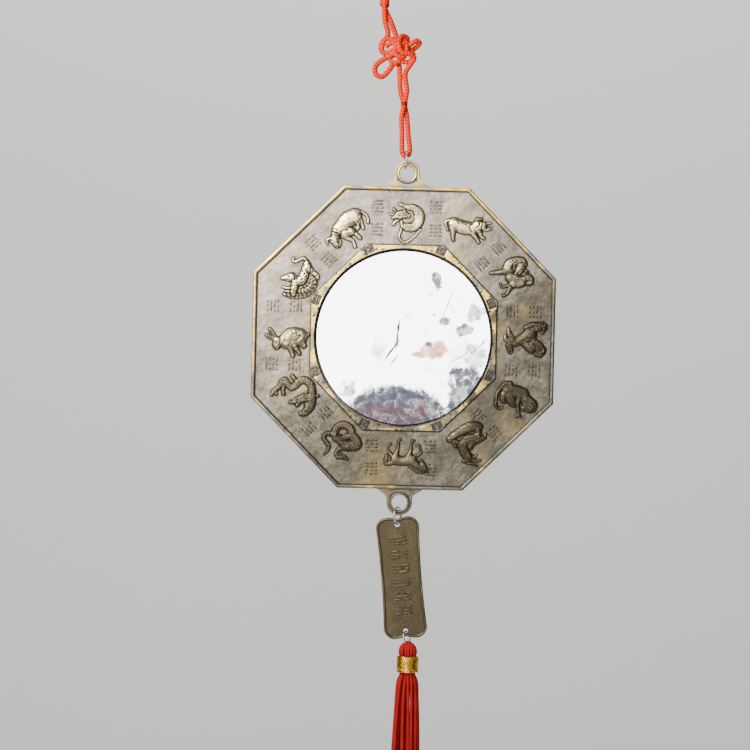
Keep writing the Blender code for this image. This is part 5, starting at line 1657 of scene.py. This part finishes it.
def lay_strands(tree, name, paths, sizes, material, thickness=None):
    return grow(name, tree, path_mesh(name, paths, thickness), {**sizes, "Finish": material})


def smooth_curve(route, count):
    """Points of a centripetal spline through the route, evenly spread over its stretches."""
    points = [Vector(p) for p in route]
    points = [2 * points[0] - points[1]] + points + [2 * points[-1] - points[-2]]
    knots = [0.0]
    for first, second in zip(points, points[1:]):
        knots.append(knots[-1] + math.sqrt((second - first).length))
    stretches = len(points) - 3
    curve = []
    for k in range(count):
        at = k * stretches / (count - 1)
        j = min(int(at), stretches - 1)
        t0, t1, t2, t3 = knots[j:j + 4]
        p0, p1, p2, p3 = points[j:j + 4]
        t = t1 + (at - j) * (t2 - t1)
        a1 = p0.lerp(p1, (t - t0) / (t1 - t0))
        a2 = p1.lerp(p2, (t - t1) / (t2 - t1))
        a3 = p2.lerp(p3, (t - t2) / (t3 - t2))
        b1 = a1.lerp(a2, (t - t0) / (t2 - t0))
        b2 = a2.lerp(a3, (t - t1) / (t3 - t1))
        curve.append(b1.lerp(b2, (t - t1) / (t2 - t1)))
    return curve


def winding(node, half_x, half_y, height, turns, steps=40):
    """An oval helix about the middle of a node."""
    centre = middle(node)
    path = []
    for k in range(int(turns * steps) + 1):
        angle = 2 * math.pi * k / steps
        up = (k / (turns * steps) - 0.5) * height
        path.append(centre + Vector((half_x * math.cos(angle), half_y * math.sin(angle), up)))
    return path


# The knot's inner turns, in millimetres from its middle; -y is in front
KNOT_MIDDLE = Vector((-0.0066, 0, -0.0895))
KNOT_TURNS = (
    [(-1.0, -0.6, 4.2), (-3.6, -0.4, 5.4), (-6.4, 0.2, 5.0), (-8.0, 0.4, 2.2), (-7.6, 0.2, -0.6),
     (-5.4, -0.4, -1.8), (-2.6, -1.2, -0.8)],
    [(-5.6, -1.6, 1.0), (-3.8, -2.2, 2.6), (-1.4, -2.4, 3.4), (0.2, -1.8, 4.6)],
    [(-1.6, -2.0, 4.0), (-0.8, -3.0, 1.6), (-1.2, -3.0, -1.0), (-3.2, -2.2, -3.2), (-4.6, -1.0, -4.2)],
    [(-0.6, -2.2, -1.6), (0.8, -3.2, 0.2), (2.4, -3.2, 2.0), (3.4, -2.2, 3.6)],
    [(3.0, -1.2, 5.0), (4.4, -2.2, 2.6), (4.6, -2.6, -0.6), (3.2, -2.4, -3.2), (1.6, -1.4, -5.0)],
    [(3.4, 0.8, 0.6), (6.2, 0.4, 0.2), (8.0, 0.0, -1.8), (7.6, -0.4, -4.4), (5.4, -0.8, -6.0),
     (2.8, -0.6, -5.8), (0.6, 0.4, -4.4)],
    [(-2.8, -2.0, 0.0), (-1.6, -3.0, -1.6), (0.4, -3.2, -3.4), (2.6, -2.6, -4.0), (4.2, -1.6, -3.0)],
    [(-3.4, 0.2, -3.0), (-3.0, -0.8, -5.4), (-0.8, -1.4, -6.8), (1.2, -1.0, -5.8), (1.8, 0.2, -3.6)],
)


def knot_weave():
    return [smooth_curve([KNOT_MIDDLE + Vector(p) * MM for p in turn], 20 * len(turn)) for turn in KNOT_TURNS]


# Points along the cord and along a strand of yarn
CORD_POINTS = 740
YARN_POINTS = 150

# How each strand is laid
BRAID = {"Strand Width": CORD_DIAMETER + 0.08 * MM, "Ring Spacing": 0.3 * MM, "Sides": 16,
         "Lay Length": 3.2 * MM, "Starts": 4, "Ridge Height": 0.11 * MM, "Braided": 1.0}
KNOT_BRAID = {**BRAID, "Strand Width": CORD_DIAMETER - 0.05 * MM}
KNOT_WRAP = {"Strand Width": 1.5 * MM, "Ring Spacing": 0.3 * MM, "Sides": 14, "Lay Length": 2.4 * MM,
             "Starts": 3, "Ridge Height": 0.09 * MM, "Braided": 1.0}
THREAD = {"Strand Width": 0.55 * MM, "Ring Spacing": 0.15 * MM, "Sides": 8, "Lay Length": 0.9 * MM,
          "Starts": 1, "Ridge Height": 0.04 * MM, "Braided": 0.0}
FOIL = {"Strand Width": 0.66 * MM, "Ring Spacing": 0.16 * MM, "Sides": 8, "Lay Length": 1.1 * MM,
        "Starts": 1, "Ridge Height": 0.05 * MM, "Braided": 0.0}
YARN_WIDTH = 1.75 * MM
YARN = {"Strand Width": YARN_WIDTH, "Ring Spacing": 0.42 * MM, "Sides": 10, "Lay Length": 2.6 * MM,
        "Starts": 2, "Ridge Height": 0.12 * MM, "Braided": 1.0}


def make_cord(tree, looks):
    route = smooth_curve(CORD_ROUTE, CORD_POINTS)
    half = CORD_DIAMETER / 2
    binding_turns = winding("cord_binding", half + 0.15 * MM, half + 1.55 * MM, 2.1 * MM, 5)
    knot_turns = winding("loop_knot", half + 0.45 * MM, half + 1.9 * MM, 3.0 * MM, 2.6)
    cord = lay_strands(tree, "hanging_cord_braid", [route], BRAID, looks["cord"])
    binding = lay_strands(tree, "cord_binding_thread", [binding_turns], THREAD, looks["thread"])
    knot = lay_strands(tree, "loop_knot_turns", [knot_turns], KNOT_WRAP, looks["cord"])
    weave = lay_strands(tree, "knot_weave", knot_weave(), KNOT_BRAID, looks["cord"])
    finish_piece(weave)
    finish_piece(cord, "hanging_cord")
    finish_piece(binding, "cord_binding")
    finish_piece(knot, "loop_knot")


# Tassel, in millimetres: depth under its top and half width there

YARN_LEVELS = ((0.0, 0.5), (1.0, 2.6), (2.9, 4.3), (5.4, 4.75), (7.9, 4.0), (12.0, 3.9), (16.2, 4.1),
               (19.5, 5.4), (33.0, 6.6), (66.0, 7.3), (110.0, 7.4))

# Share of the half width and number of strands in each ring
YARN_RINGS = ((1.0, 15), (0.60, 9), (0.22, 4))
YARN_FREE = 0.16
PLUMP_DEPTHS = np.array((0, 2, 8, 16, 22)) * MM
TASSEL_FLATNESS = 0.85
BAND_HEIGHT = 8.5 * MM
BAND_HALF = 5.1 * MM
BAND_TURNS = 15


def yarn_strand(dice, angle, share, top, length):
    """One strand's path from the head to its cut end, which sways once it is free of the neck."""
    sway, phase = dice.uniform(0.1, 0.9) * MM, dice.uniform(0, 6.28)
    cut = dice.uniform(0, 2.5) * MM
    stations = []
    for depth, half in YARN_LEVELS:
        down = depth * MM / length
        free = max(0, down - YARN_FREE)
        radius = max(half * MM - YARN_WIDTH / 2, 0.3 * MM) * share
        radius += sway * math.sin(phase + 7 * down) * min(1, 8 * free)
        turn = angle + 0.5 * free * math.sin(phase)
        stations.append((top[0] + radius * math.cos(turn),
                         top[1] + TASSEL_FLATNESS * radius * math.sin(turn),
                         top[2] - 0.9 * MM - min(depth * MM, length - cut) * 0.99))
    return smooth_curve(stations, YARN_POINTS)


def make_tassel(tree, looks):
    low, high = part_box("tassel")
    centre = middle("tassel")
    top = (centre.x, centre.y, high[2])
    length = high[2] - low[2]
    dice = np.random.default_rng(8)
    paths, thickness = [], []
    for share, count in YARN_RINGS:
        for k in range(count):
            angle = 2 * math.pi * (k + dice.uniform(-0.22, 0.22)) / count + share
            path = yarn_strand(dice, angle, share, top, length)
            depth = np.array([top[2] - p.z for p in path])
            paths.append(path)
            plump = dice.uniform(0.82, 1.12)
            thickness.append(np.interp(depth, PLUMP_DEPTHS, (0.55, 0.95, 0.8, 0.8, plump)))
    tassel = lay_strands(tree, "tassel_strands", paths, YARN, looks["yarn"], thickness)
    finish_piece(tassel, "tassel")
    band = winding("tassel_band", BAND_HALF, BAND_HALF * TASSEL_FLATNESS + 0.1 * MM, BAND_HEIGHT - 0.62 * MM,
                   BAND_TURNS, 72)
    foil = lay_strands(tree, "tassel_band_foil", [band], FOIL, looks["foil"])
    finish_piece(foil, "tassel_band")


def main():
    set_camera()
    set_stage()
    set_lights()
    looks = make_materials()
    strands = strand_tree()
    strokes = stroke_tree()
    make_cord(strands, looks)
    make_plate(looks["band"])
    for place, figure in enumerate(FIGURES):
        make_figure(figure.__name__ + "_relief", figure(), place, looks["figures"])
    make_band_strokes(strokes, looks["band"])
    make_trigrams(strokes, looks["band"])
    make_glass(looks["mirror"])
    make_rings(looks["steel"])
    make_plaque(looks["plaque"])
    make_plaque_strokes(strokes, looks["plaque"])
    make_tassel(strands, looks)


main()
